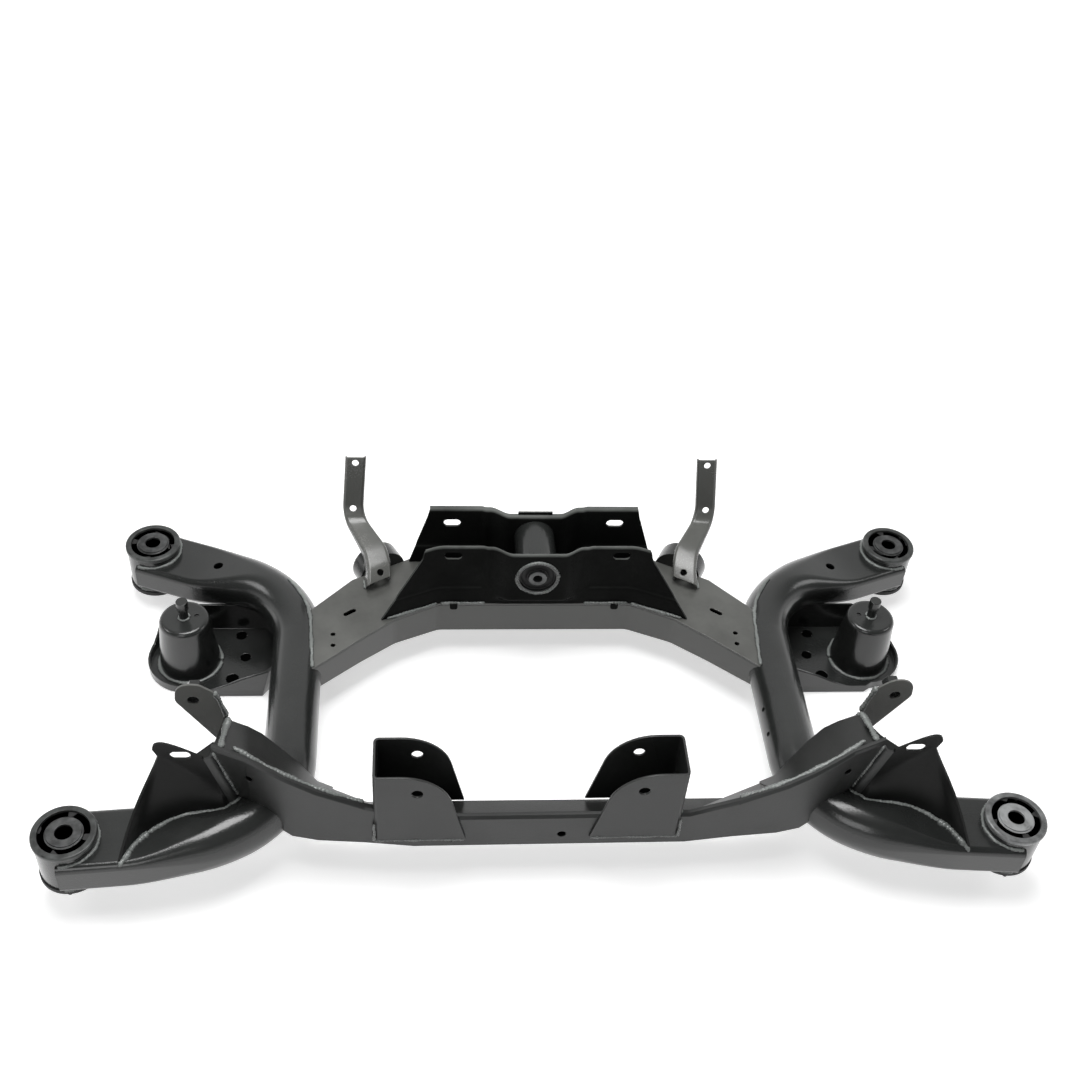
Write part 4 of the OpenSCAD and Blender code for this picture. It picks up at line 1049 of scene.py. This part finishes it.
def finishes():
    """The finishes of the part, made once."""
    if "gloss_paint" in bpy.data.materials:
        return {m.name: m for m in bpy.data.materials}
    colours = bpy.context.scene.subframe_colours
    sprayed, rubbed = peel_group(), wear_group()
    paint, plate, bracket, steel = colours.paint, colours.plate, colours.bracket, colours.steel

    def spray(name, colour, tones, rough, grain, bump, depth=PEEL_DEPTH, **shader):
        """Sprayed finish between a deep and a pale tone of a colour; the pale tone is painted light on
        upward faces, mixed with dust.
        """
        finish_of(name, sprayed, {
            "Deep Colour": shade(colour, tones[0]), "Top Light Colour": shade(colour, tones[1]),
            "Smooth": rough[0], "Rough": rough[1], "Grain": grain,
        }, bump, depth, **shader)

    def rub(name, colour, tones, rough, **shader):
        """Rubbed finish between a clean and a stained tone of a colour."""
        finish_of(name, rubbed, {
            "Clean Colour": shade(colour, tones[0]), "Stain Colour": shade(colour, tones[1]),
            "Smooth": rough[0], "Rough": rough[1],
        }, SCRATCH_BUMP, SCRATCH_DEPTH, **shader)

    spray("gloss_paint", paint, (0.7, 1.5), (0.15, 0.27), grain=330.0, bump=0.24, coat=0.3)
    spray("fold_paint", paint, (0.6, 1.0), (0.34, 0.5), grain=480.0, bump=0.06)
    # The rear crossmember, the stays and the back plates take lighter grey copies of the frame paint:
    # painted light.
    spray("satin_paint", bracket, (0.8, 2.1), (0.26, 0.42), grain=520.0, bump=0.1, coat=0.15)
    # Plates, wings, gussets, the front cover and the ties take near-black copies of the frame paint:
    # painted shade.
    spray("plate_paint", plate, (0.35, 36), (0.2, 0.32), grain=520.0, bump=0.06, specular=0.012)
    spray("wing_paint", plate, (0.9, 6), (0.26, 0.44), grain=520.0, bump=0.14, specular=0.16)
    # Near-black and dull: painted shade in the cups behind the end holes and the plugs in the tray holes.
    spray("recess_paint", plate, (0.2, 0.5), (0.7, 0.9), grain=520.0, bump=0.05, specular=0.0)
    # Lighter grey for the stays and the back plates: painted light.
    spray("stay_paint", bracket, (1.3, 2.2), (0.18, 0.32), grain=520.0, bump=0.26, coat=0.25)
    spray("bracket_paint", bracket, (1.5, 2.3), (0.34, 0.55), grain=480.0, bump=0.12)
    # The weld beads take the frame paint many times lighter: painted highlights on the beads.
    spray("weld_paint", paint, (3.5, 15.0), (0.14, 0.34), grain=600.0, bump=0.8, depth=0.0006, coat=0.3)
    rub("shell_paint", paint, (1.6, 4.5), (0.26, 0.46), coat=0.1)
    # Bright steel for the front right bush's shell and core only: a painted reflection.
    rub("rim_steel", steel, (0.3, 0.7), (0.24, 0.46), metallic=0.4)
    spray("soft_rubber", colours.rubber, (0.8, 1.7), (0.55, 0.8), grain=700.0, bump=0.2)
    rub("bright_steel", steel, (1.0, 0.45), (0.26, 0.5), metallic=0.45)
    rub("core_steel", steel, (0.12, 0.32), (0.3, 0.55), metallic=0.6)
    return {m.name: m for m in bpy.data.materials}


# Settings


def length_setting(name, description, default, low, high):
    """Length in metres that a user may change."""
    return FloatProperty(
        name=name, description=description, default=default, min=low, max=high, unit="LENGTH",
    )


def colour_setting(name, description, default):
    """Colour that a user may change."""
    return FloatVectorProperty(
        name=name, description=description, subtype="COLOR", size=3, min=0, max=1, default=default,
    )


class SubframeSizes(bpy.types.PropertyGroup):
    """Sizes of the dressing that a user may change."""
    edge_round: length_setting(
        "Edge rounding", "Width of the rounding on cut sheet edges", 0.0008, 0.0001, 0.002,
    )
    fold_round: length_setting(
        "Fold rounding", "Width of the rounding on pressed folds", 0.005, 0.001, 0.008,
    )
    bead_radius: length_setting("Bead radius", "Radius of the weld beads", 0.0029, 0.001, 0.005)
    bead_pitch: length_setting(
        "Bead pitch", "Length of one ripple of a weld bead", 0.0042, 0.002, 0.008,
    )
    tube_wall: length_setting("Tube wall", "Wall of the side tubes", 0.003, 0.002, 0.004)


class SubframeColours(bpy.types.PropertyGroup):
    """Colours of the finishes that a user may change."""
    # The weld beads take this colour many times lighter: painted highlights.
    paint: colour_setting(
        "Frame paint", "Dark paint of the tubes, the folds and the weld beads", (0.017, 0.0182, 0.0175),
    )
    # Darker copy of the frame paint: painted shade on the pressed plates, wings, gussets, front cover and
    # ties.
    plate: colour_setting(
        "Plate paint", "Deep black paint of the pressed plates and wings", (0.004, 0.0042, 0.004),
    )
    # Lighter copy of the frame paint: painted light on the rear crossmember, the stays and the back
    # plates.
    bracket: colour_setting(
        "Bracket paint", "Grey paint of the rear crossmember, the stays and the back plates",
        (0.056, 0.057, 0.053),
    )
    rubber: colour_setting("Rubber", "Rubber of the bushes", (0.012, 0.012, 0.012))
    steel: colour_setting("Bare steel", "Machined steel of cores and sleeves", (0.42, 0.43, 0.43))
    floor: colour_setting("Floor", "Pale studio floor", (0.86, 0.86, 0.86))


# Pieces


class SUBFRAME_OT_side_tubes(bpy.types.Operator):
    """Sweep the two bent side tubes and cut their holes"""
    bl_idname = "subframe.side_tubes"
    bl_label = "Side tubes"

    def execute(self, context):
        wall = context.scene.subframe_sizes.tube_wall
        ahead = (REAR_AXIS - REAR_CORNER).normalized()
        hole = REAR_AXIS - ARM_HOLE_FROM * ahead
        for side_name, side in SIDES:
            bm = bmesh.new()
            loft(bm, [metres(mirrored(tube_ring(s), side)) for s in STATIONS], True)
            bmesh.ops.recalc_face_normals(bm, faces=bm.faces)
            probe = bm.faces[:][0]
            middle = mirror(STATIONS[0][0], side) * MM
            if probe.normal.dot(probe.calc_center_median() - middle) < 0:
                bmesh.ops.reverse_faces(bm, faces=bm.faces)
            tube = add_object(side_name + "_tube_smooth", bm)
            skin = tube.modifiers.new("wall", "SOLIDIFY")
            skin.thickness = wall
            skin.offset = -1.0
            settle(tube)
            tools = [
                rod((side * axis.x, axis.y, z), UP, EYE_COPE_D, COPE_CUT, ROUND_SEGMENTS)
                for axis, z in ((FRONT_AXIS, FRONT_Z), (REAR_AXIS, REAR_Z))
            ]
            arm_top = REAR_Z + REAR_ARM[1] / 2
            tools.append(rod((side * hole.x, hole.y, arm_top), UP, ARM_HOLE_D, ARM_HOLE_CUT))
            if side < 0:
                lean = Vector((-math.sin(CLIP_LEAN), 0, math.cos(CLIP_LEAN)))
                for y in CLIP_HOLES_Y:
                    start = Vector((-REAR_CORNER.x, y, FRONT_Z - TUBE_D / 8))
                    tools.append(rod(start + TUBE_D / 2 * lean, lean, CLIP_HOLE_D, TUBE_D))
            cut(tube, *tools)
            dress(tube, finishes()["gloss_paint"], (side_name + "_side_tube",))
        return {"FINISHED"}


class SUBFRAME_OT_body_bushes(bpy.types.Operator):
    """Dress the four body bushes, the eyes that hold them and the nibs under the front ones"""
    bl_idname = "subframe.body_bushes"
    bl_label = "Body bushes"

    def execute(self, context):
        looks = finishes()
        for corner in CORNERS:
            # The front right bush alone takes bright steel on its shell and core: a painted reflection;
            # the others are the same bush.
            bright = corner == "front_right"
            soft_copy(corner + "_eye", looks["gloss_paint"])
            soft_copy(
                corner + "_bush_shell", looks["rim_steel" if bright else "shell_paint"],
                edge=0.0005,
            )
            soft_copy(corner + "_bush_rubber", looks["soft_rubber"], edge=0.0006)
            soft_copy(
                corner + "_bush_core", looks["bright_steel" if bright else "core_steel"],
                edge=0.0006, edge_from=30,
            )
        for side_name, side in SIDES:
            shape = rod(mirror(NIB, side), UP, NIB_D, NIB_LENGTH, segments=24)
            nib = add_object(side_name + "_bush_nib", shape)
            round_rim(nib, NIB_ROUND * MM)
            dress(nib, looks["soft_rubber"])
        return {"FINISHED"}


class SUBFRAME_OT_front_crossmember(bpy.types.Operator):
    """Dress the box of the front crossmember, its end gussets and the dark cups of painted shade behind
    its end holes
    """
    bl_idname = "subframe.front_crossmember"
    bl_label = "Front crossmember"

    def execute(self, context):
        looks = finishes()
        fold = context.scene.subframe_sizes.fold_round
        soft_copy("front_beam_shell", looks["fold_paint"])
        # The cover and the end gussets take the darker plate paint: painted shade.
        soft_copy("front_beam_cover", looks["wing_paint"], crease=fold * COVER_FOLD)
        for side_name, side in SIDES:
            soft_copy(side_name + "_end_gusset", looks["wing_paint"])
            cup = add_object(side_name + "_end_hole_shade_cup", self.cup(side))
            dress(cup, looks["recess_paint"])
        return {"FINISHED"}

    def cup(self, side):
        """Closed dark cup behind the hole near the end of the crossmember: painted shade in the hole."""
        x, z, d = END_HOLE
        slope = (face_y(x + 1) - face_y(x - 1)) / 2
        inward = Vector((side * slope, 1, 0)).normalized()
        start = Vector((-side * x, face_y(x), z)) + inward * (SHEET + CUP_GAP)
        bm = bmesh.new()
        bmesh.ops.create_circle(bm, segments=24, radius=(d / 2 + CUP_OVERLAP) * MM)
        floor = bmesh.ops.extrude_edge_only(bm, edges=bm.edges[:])["geom"]
        lifted = [g for g in floor if isinstance(g, bmesh.types.BMVert)]
        bmesh.ops.translate(bm, vec=(0, 0, CUP_DEPTH * MM), verts=lifted)
        bmesh.ops.edgeloop_fill(bm, edges=[g for g in floor if isinstance(g, bmesh.types.BMEdge)])
        bmesh.ops.recalc_face_normals(bm, faces=bm.faces)
        bmesh.ops.solidify(bm, geom=bm.faces[:], thickness=CUP_WALL * MM)
        turn = Vector(UP).rotation_difference(inward).to_matrix().to_4x4()
        bmesh.ops.transform(bm, matrix=turn, verts=bm.verts)
        bmesh.ops.translate(bm, vec=start * MM, verts=bm.verts)
        bmesh.ops.recalc_face_normals(bm, faces=bm.faces)
        return bm


class SUBFRAME_OT_diff_brackets(bpy.types.Operator):
    """Dress the two folded brackets of the differential"""
    bl_idname = "subframe.diff_brackets"
    bl_label = "Differential brackets"

    def execute(self, context):
        looks = finishes()
        for side_name, _ in SIDES:
            soft_copy(side_name + "_diff_bracket", looks["fold_paint"])
        return {"FINISHED"}


class SUBFRAME_OT_link_brackets(bpy.types.Operator):
    """Press the folded sheet, the corner tie and the back plate of each link bracket"""
    bl_idname = "subframe.link_brackets"
    bl_label = "Link brackets"

    def corner_tie(self, side):
        """Small level sheet in the corner between the web and the wing."""
        inner = web_x(TIE_Z) - SHEET - TIE_GAP
        corners = ((inner, TIE_BACK_Y), (inner, TIE_FRONT_Y), (TIE_OUTER_X, TIE_FRONT_Y))
        bm = flat_sheet(mirrored([(x, y, TIE_Z) for x, y in corners], side), (0, 0, SHEET))
        round_edges(bm, bm.edges[:], TIE_EDGE, segments=2)
        return bm

    def back_plate(self, side):
        """Back plate, rounded over its bolt hole."""
        corners = [(x, LINK_BACK_Y, z) for x, z in LINK_PLATE]
        bm = flat_sheet(mirrored(corners, side), (0, SHEET, 0))
        upper = [
            e for e in bm.edges
            if abs(e.verts[0].co.y - e.verts[1].co.y) > MM
            and e.verts[0].co.z > LINK_PLATE_ROUND_FROM * MM
        ]
        round_edges(bm, upper, LINK_PLATE_ROUND * MM, segments=5)
        return bm

    def execute(self, context):
        looks = finishes()
        edge = context.scene.subframe_sizes.edge_round
        columns = link_columns()
        for side_name, side in SIDES:
            rows = [metres(mirrored(c, side)) for c in columns]
            wing = pressed_sheet(side_name + "_link_wing", rows, SHEET, (0, -1, 0))
            cut(wing, rod(
                (side * SLOT_X, LINK_FRONT_Y, LINK_Z), BACK, LINK_HOLE_D, LINK_CUT,
                stretch=LINK_SLOT - LINK_HOLE_D,
            ))
            round_rim(wing, edge * PRESSED_RIM, clamp=True)
            # The wing takes the darker plate paint, painted shade; its fold band takes the frame paint and
            # shows lighter.
            dress(wing, looks["wing_paint"], (side_name + "_link_bracket",))
            wing.data.materials.append(looks["fold_paint"])
            for face in wing.data.polygons:
                x, z = face.center.x * side / MM, face.center.z / MM
                if x > web_x(z) - FOLD_R:
                    face.material_index = 1
            tie = add_object(side_name + "_link_tie", self.corner_tie(side))
            dress(tie, looks["wing_paint"])
            plate = add_object(side_name + "_link_back_plate", self.back_plate(side))
            cut(plate, rod((side * LINK_X, LINK_BACK_Y, LINK_Z), BACK, LINK_HOLE_D, LINK_CUT))
            round_rim(plate, edge)
            # The back plate takes the lighter grey bracket paint: painted light.
            dress(plate, looks["bracket_paint"])
            soft_copy(side_name + "_link_nut", looks["gloss_paint"])
        return {"FINISHED"}


class SUBFRAME_OT_rear_crossmember(bpy.types.Operator):
    """Dress the box of the rear crossmember"""
    bl_idname = "subframe.rear_crossmember"
    bl_label = "Rear crossmember"

    def execute(self, context):
        looks = finishes()
        fold = context.scene.subframe_sizes.fold_round
        # The rear crossmember takes the lighter grey satin paint: painted light.
        soft_copy("rear_beam_channel", looks["satin_paint"], crease=fold)
        soft_copy("rear_beam_cover", looks["satin_paint"])
        return {"FINISHED"}


class SUBFRAME_OT_diff_mount(bpy.types.Operator):
    """Dress the pressed plates and the bush of the differential's rear mount"""
    bl_idname = "subframe.diff_mount"
    bl_label = "Differential rear mount"

    def execute(self, context):
        looks = finishes()
        edge = context.scene.subframe_sizes.edge_round
        for name, plate in PLATES.items():
            rows = [metres(row) for row in plate_rows(plate)]
            piece = pressed_sheet(name + "_pressed", rows, SHEET, (0, -1, 0))
            middle = (0, plate.front, MOUNT_Z)
            tools = [rod(middle, BACK, 2 * HOUSING_R + HOUSING_GAP, HOUSING_CUT, ROUND_SEGMENTS)]
            for x in (-PLATE_SLOT_X, PLATE_SLOT_X):
                tools.append(rod(
                    (x, plate.front, plate.slot_z), BACK, PLATE_SLOT_D, PLATE_SLOT_CUT,
                    stretch=PLATE_SLOT_LENGTH - PLATE_SLOT_D,
                ))
            cut(piece, *tools)
            round_rim(piece, edge * PRESSED_RIM)
            # The pressed plates, tabs and lip take the darker plate paint: painted shade.
            dress(piece, looks["plate_paint"], (name,))
        rear = PLATES["diff_rear_plate"]
        place = (0, rear.front - JOGGLE + PLATE_LIP_BACK, rear.top + PLATE_LIP_RISE)
        small = {
            side_name + "_plate_tab": block(mirror(TAB, side), TAB_SIZE, TAB_ROUND)
            for side_name, side in SIDES
        }
        small["rear_plate_lip"] = block(place, PLATE_LIP_SIZE)
        for name, shape in small.items():
            piece = add_object(name, shape)
            round_rim(piece, edge * PRESSED_RIM)
            dress(piece, looks["plate_paint"])
        soft_copy("diff_bush_housing", looks["gloss_paint"])
        soft_copy("diff_bush_rubber", looks["soft_rubber"])
        soft_copy("diff_bush_sleeve", looks["core_steel"])
        return {"FINISHED"}


class SUBFRAME_OT_stays(bpy.types.Operator):
    """Dress the pressed stays and the half-round brackets behind them"""
    bl_idname = "subframe.stays"
    bl_label = "Stays"

    def execute(self, context):
        looks = finishes()
        edge = context.scene.subframe_sizes.edge_round
        for side_name, side in SIDES:
            rows = [metres(mirrored(row, side)) for row in stay_rows()]
            stay = pressed_sheet(side_name + "_stay_pressed", rows, STAY_SHEET, (0, -1, 1))
            below = mirror((*STAY_TRIM, PLATE_FOOT - STAY_TRIM_SIZE / 2), side)
            tools = [block(below, (STAY_TRIM_SIZE,) * 3)]
            for row, along_by in STAY_HOLES:
                a, b = STAY_ROWS[max(0, row - 1)], STAY_ROWS[row + 1]
                along = (Vector(b[0]) - Vector(a[0])).normalized()
                turn = math.radians(STAY_ROWS[row][1])
                out = along.cross(Vector((math.cos(turn), math.sin(turn), 0)))
                place = Vector(STAY_ROWS[row][0]) + along * along_by
                ends = mirrored((place, out), side)
                tools.append(rod(*ends, STAY_HOLE_D, STAY_HOLE_CUT))
            cut(stay, *tools)
            round_rim(stay, edge * PRESSED_RIM)
            # The stay takes a lighter grey paint: painted light.
            dress(stay, looks["stay_paint"], (side_name + "_stay",))
            soft_copy(side_name + "_stay_bracket", looks["gloss_paint"])
        return {"FINISHED"}


class SUBFRAME_OT_spring_seats(bpy.types.Operator):
    """Dress the spring trays, domes and stop studs and close the trays' holes with dark plugs of painted
    shade
    """
    bl_idname = "subframe.spring_seats"
    bl_label = "Spring seats"

    def execute(self, context):
        looks = finishes()
        for side_name, side in SIDES:
            soft_copy(side_name + "_spring_tray", looks["gloss_paint"])
            # Dark plugs in the tray holes: painted shade.
            plugs = bmesh.new()
            for x, y, d in TRAY_HOLES:
                middle = mirror((SEAT.x + x, SEAT.y + y, TRAY_FLOOR_LOW + PLUG_RISE), side)
                join(plugs, rod(middle, UP, d - PLUG_GAP, PLUG_SHEET, segments=48))
            dress(add_object(side_name + "_tray_shade_plugs", plugs), looks["recess_paint"])
            soft_copy(side_name + "_spring_dome", looks["gloss_paint"], edge=0.0004)
            soft_copy(side_name + "_stop_stud", looks["gloss_paint"], edge=0.001)
        return {"FINISHED"}


# Small numbers that are added to a place below set the middle of a bead off its joint.
class SUBFRAME_OT_weld_beads(bpy.types.Operator):
    """Lay the weld beads along the joints"""
    bl_idname = "subframe.weld_beads"
    bl_label = "Weld beads"

    def eye_lines(self, side):
        """Beads round the eyes, on top of the arms and under them."""
        lines = []
        for axis, corner, z, arm in (
            (FRONT_AXIS, FRONT_CORNER, FRONT_Z, FRONT_ARM), (REAR_AXIS, REAR_CORNER, REAR_Z, REAR_ARM),
        ):
            ahead = corner - axis
            heading = math.degrees(math.atan2(ahead.y, ahead.x))
            for sign in (1, -1):
                middle = (axis.x, axis.y, z + sign * (arm[1] / 2 + 0.4))
                ends = (heading - EYE_BEAD_TURN, heading + EYE_BEAD_TURN)
                arc = circle_line(middle, EYE_D / 2 + 0.8, *ends)
                lines.append((mirrored(arc, side), 0.9))
        return lines

    def wing_line(self, side):
        """Bead along the foot of the link bracket's wing and web."""
        skipped = 4
        ends = [column[-1] for column in link_columns(rows=8)[skipped:]]
        foot = [p + Vector((0.4, -0.8, 0.8)) for p in ends]
        tail = [p + Vector((0.6, -1.0, 0.6)) for p in foot[WING_TAIL]]
        return [(mirrored(foot, side), 1.0), (mirrored(tail, side), 1.5)]

    def front_lines(self, side):
        """Beads of the front crossmember's end: along its lip, its gusset and its bracket."""
        along = range(STRAIGHT_HALF + 1, BEAM_END - 5, BEAD_STEP)
        lip = [Vector((-x, face_y(x) + LIP_W + 1.2, lip_z(x) + 1.6)) for x in along]
        end_y = face_y(BEAM_END) - 0.6
        end = [Vector((web_x(z) + 1.2, end_y, z)) for z in range(*END_BEAD_Z, -BEAD_STEP)]
        back_y = LINK_BACK_Y - 0.5
        back = [Vector((web_x(z) + 1.0, back_y, z)) for z in range(*BACK_BEAD_Z, -BEAD_STEP)]
        welded = LINK_PLATE[LINK_PLATE_WELD]
        edge = [Vector((x + 0.6, LINK_BACK_Y + SHEET / 2, z)) for x, z in welded]
        lines = [(mirrored(line, side), 1.0) for line in (lip, end, back)]
        return lines + [(mirrored(line, side), 1.3) for line in (edge, KNOT)]

    def rear_lines(self, side):
        """Beads of the rear crossmember: on the tube, at the plates' feet and at the stay."""
        tube = []
        for place, heading, width, _, r in STATIONS:
            on_box = BOX_FRONT_Y <= place.y <= REAR_CORNER.y and place.x > BOX_END_X
            if on_box and abs(width - TUBE_D) < 1:
                depth = place.z - BOX_TOP
                off = math.sqrt(max(0.0, r * r - depth * depth))
                across = Vector((math.sin(heading), -math.cos(heading), 0))
                tube.append(Vector((place.x, place.y, BOX_TOP + 0.8)) + across * (off + 0.6))
        plate = PLATES["diff_front_plate"]
        front_y = plate.front - 0.8
        rear_y = PLATES["diff_rear_plate"].front + SHEET + 0.8
        slope = plate.sweep / PLATE_BEND_LENGTH
        foot = [
            Vector((-x, front_y - slope * (x - PLATE_BEND_FROM), BOX_TOP + 1.4))
            for x in range(PLATE_BEND_FROM + 2, plate.foot_half - 1, BEAD_STEP)
        ]
        middle = [
            Vector((-x, front_y, BOX_TOP + 1.2))
            for x in range(POCKET_EDGE + 6, PLATE_BEND_FROM + 1, BEAD_STEP)
        ]
        rear = [Vector((-x, rear_y, BOX_TOP + 1.2)) for x in range(*REAR_BEAD_X, BEAD_STEP)]
        stay = [[Vector((x, y, BOX_TOP + 1.1)) for x, y in line] for line in STAY_BEADS]
        lines = [(mirrored(line, side), 0.9) for line in (tube, foot, middle, rear)]
        return lines + [(mirrored(line, side), 0.8) for line in stay]

    def seat_lines(self, side):
        """Beads round the dome and the stud."""
        base = circle_line(SEAT + Vector((0, 0, 0.6)), DOME_BASE_R + 0.8, 0, 358)
        stud = circle_line(SEAT + Vector((0, 0, STUD_BEAD_Z)), STUD_BEAD_R, 0, 355, count=36)
        return [(mirrored(base, side), 1.0), (mirrored(stud, side), 0.6)]

    def bracket_lines(self):
        """Beads at the feet of the differential brackets and round the rear bush."""
        lines = []
        for bolt, side in DIFF_BOLTS:
            outer, inner = bolt + side * DIFF_OUTER, bolt - side * DIFF_INNER
            upright = [Vector((outer, BEAM_FACE_Y - 3.4, z)) for z in range(DIFF_FOOT + 2, -6, 4)]
            level = [Vector((outer, BEAM_FACE_Y + 2 + y, BEAM_TOP + 3.8)) for y in range(0, 16, 3)]
            xs = [mix(outer, inner, i / 20) for i in range(21)]
            foot = [Vector((x, BEAM_FACE_Y - 1.6, DIFF_FOOT + 0.4)) for x in xs]
            lines += [(upright, 0.7), (level, 0.9), (foot, 0.8)]
        pocket_front = PLATES["diff_front_plate"].front - JOGGLE
        pocket_back = PLATES["diff_rear_plate"].front - JOGGLE + SHEET
        for y in (pocket_front - 0.4, pocket_back + 0.4):
            lines.append((circle_line((0, y, MOUNT_Z), HOUSING_R + 0.6, 0, 358, "Y"), 0.8))
        return lines

    def execute(self, context):
        # Bead paint many times lighter than the frame paint: painted highlights.
        weld = finishes()["weld_paint"]
        for side_name, side in SIDES:
            bead_piece(side_name + "_eye_welds", self.eye_lines(side), weld)
            bead_piece(side_name + "_front_welds", self.wing_line(side) + self.front_lines(side), weld)
            bead_piece(side_name + "_rear_welds", self.rear_lines(side), weld)
            bead_piece(side_name + "_seat_welds", self.seat_lines(side), weld)
        bead_piece("bracket_welds", self.bracket_lines(), weld)
        return {"FINISHED"}


# Stage


class SUBFRAME_OT_stage(bpy.types.Operator):
    """Set the floor, the lights and the camera"""
    bl_idname = "subframe.stage"
    bl_label = "Stage"

    def background_ray(self, tree):
        """Mask of the rays that see the background: camera, glossy and transmission rays."""
        path = add_node(tree, "ShaderNodeLightPath").outputs
        mask = path["Is Camera Ray"]
        for name in ("Is Glossy Ray", "Is Transmission Ray"):
            mask = maths(tree, "MAXIMUM", mask, path[name])
        return mask

    def floor(self, context):
        """Large pale floor that keeps the shadow and shows near white."""
        bm = bmesh.new()
        bmesh.ops.create_grid(bm, x_segments=1, y_segments=1, size=FLOOR_HALF)
        bmesh.ops.translate(bm, vec=(0, 0, CAD_BOX[0][2] - FLOOR_GAP), verts=bm.verts)
        made = add_object("studio_floor", bm)
        look = bpy.data.materials.new("studio_floor")
        look.use_nodes = True
        tree = look.node_tree
        shader = tree.nodes["Principled BSDF"]
        colour = context.scene.subframe_colours.floor
        tint = add_node(tree, "ShaderNodeTexNoise", None, {"Scale": 3.0, "Detail": 2.0}).outputs["Fac"]
        tone = blend(tree, tint, shade(colour, 0.99), shade(colour, 1.01))
        tree.links.new(tone, shader.inputs["Base Color"])
        shader.inputs["Roughness"].default_value = 0.9
        shader.inputs["Specular IOR Level"].default_value = 0.1
        place = add_node(tree, "ShaderNodeNewGeometry").outputs["Position"]
        away = add_node(tree, "ShaderNodeVectorMath", {"operation": "LENGTH"}, {0: place})
        brightness = ramp(tree, away.outputs["Value"], low=0.7, high=3.2, bottom=0.5, top=0.9)
        glow = add_node(tree, "ShaderNodeEmission", None, {
            "Strength": maths(tree, "MULTIPLY", self.background_ray(tree), brightness),
        })
        total = add_node(tree, "ShaderNodeAddShader", None, {
            0: shader.outputs["BSDF"], 1: glow.outputs["Emission"],
        })
        tree.links.new(total.outputs["Shader"], tree.nodes["Material Output"].inputs["Surface"])
        made.data.materials.append(look)

    def world(self, context):
        """Dim surroundings with a white horizon and a bright wall behind the part."""
        world = bpy.data.worlds.new("studio")
        context.scene.world = world
        world.use_nodes = True
        tree = world.node_tree
        sky = tree.nodes["Background"]
        way = add_node(tree, "ShaderNodeTexCoord").outputs["Generated"]
        sides = add_node(tree, "ShaderNodeSeparateXYZ", None, {"Vector": way}).outputs
        behind = ramp(tree, sides["Y"], low=0.2, high=0.7, bottom=0.14, top=0.7)
        high = ramp(tree, sides["Z"], low=0.75, high=1.0, bottom=1.0, top=0.35)
        wall = maths(tree, "MULTIPLY", behind, high)
        horizon = ramp(tree, sides["Z"], low=0.2, high=0.4, bottom=1.0, top=0.0)
        tree.links.new(maths(tree, "MAXIMUM", wall, horizon), sky.inputs["Strength"])
        sky.inputs["Color"].default_value = (1, 1, 1, 1)

    def lamp(self, context, name, place, aim, size, power):
        """Soft rectangular lamp."""
        data = bpy.data.lights.new(name, "AREA")
        data.shape = "RECTANGLE"
        data.size, data.size_y = size
        data.energy = power
        made = bpy.data.objects.new(name, data)
        made.location = place
        made.rotation_euler = (Vector(aim) - Vector(place)).to_track_quat("-Z", "Y").to_euler()
        context.scene.collection.objects.link(made)

    def camera(self, context):
        """Camera at the place and angle of the photograph."""
        place = (-0.1577407, -1.1546227, 1.3133932)
        right = Vector((0.99602095, -0.06262349, 0.06340788))
        down = Vector((0.00283057, -0.68890512, -0.724846))
        ahead = Vector((0.0890744, 0.72214128, -0.68598668))
        data = bpy.data.cameras.new("studio_camera")
        data.sensor_width = 36.0
        data.lens = 46.07
        made = bpy.data.objects.new("studio_camera", data)
        turn = Matrix((right, -down, -ahead)).transposed().to_4x4()
        made.matrix_world = Matrix.Translation(place) @ turn
        context.scene.collection.objects.link(made)
        context.scene.camera = made

    def execute(self, context):
        self.floor(context)
        self.world(context)
        for name, lamp in LAMPS.items():
            self.lamp(context, name, *lamp)
        self.camera(context)
        context.scene.view_settings.view_transform = "Standard"
        return {"FINISHED"}


OPERATORS = (
    SUBFRAME_OT_side_tubes,
    SUBFRAME_OT_body_bushes,
    SUBFRAME_OT_front_crossmember,
    SUBFRAME_OT_diff_brackets,
    SUBFRAME_OT_link_brackets,
    SUBFRAME_OT_rear_crossmember,
    SUBFRAME_OT_diff_mount,
    SUBFRAME_OT_stays,
    SUBFRAME_OT_spring_seats,
    SUBFRAME_OT_weld_beads,
    SUBFRAME_OT_stage,
)


class SUBFRAME_PT_panel(bpy.types.Panel):
    """Sidebar panel that lists the sizes, the colours and the pieces"""
    bl_idname = "SUBFRAME_PT_panel"
    bl_label = "Subframe"
    bl_space_type = "VIEW_3D"
    bl_region_type = "UI"
    bl_category = "Subframe"

    def draw(self, context):
        for group in (context.scene.subframe_sizes, context.scene.subframe_colours):
            for name in group.__annotations__:
                self.layout.prop(group, name)
        for kind in OPERATORS:
            self.layout.operator(kind.bl_idname)


CLASSES = (SubframeSizes, SubframeColours, *OPERATORS, SUBFRAME_PT_panel)


def register():
    """Adds the settings, the operators and the panel."""
    for kind in CLASSES:
        bpy.utils.register_class(kind)
    bpy.types.Scene.subframe_sizes = PointerProperty(type=SubframeSizes)
    bpy.types.Scene.subframe_colours = PointerProperty(type=SubframeColours)


def unregister():
    """Takes the settings, the operators and the panel away again."""
    del bpy.types.Scene.subframe_sizes
    del bpy.types.Scene.subframe_colours
    for kind in reversed(CLASSES):
        bpy.utils.unregister_class(kind)


def main():
    """Builds every piece and the stage."""
    register()
    for kind in OPERATORS:
        group, name = kind.bl_idname.split(".")
        getattr(getattr(bpy.ops, group), name)()


if __name__ == "__main__":
    main()
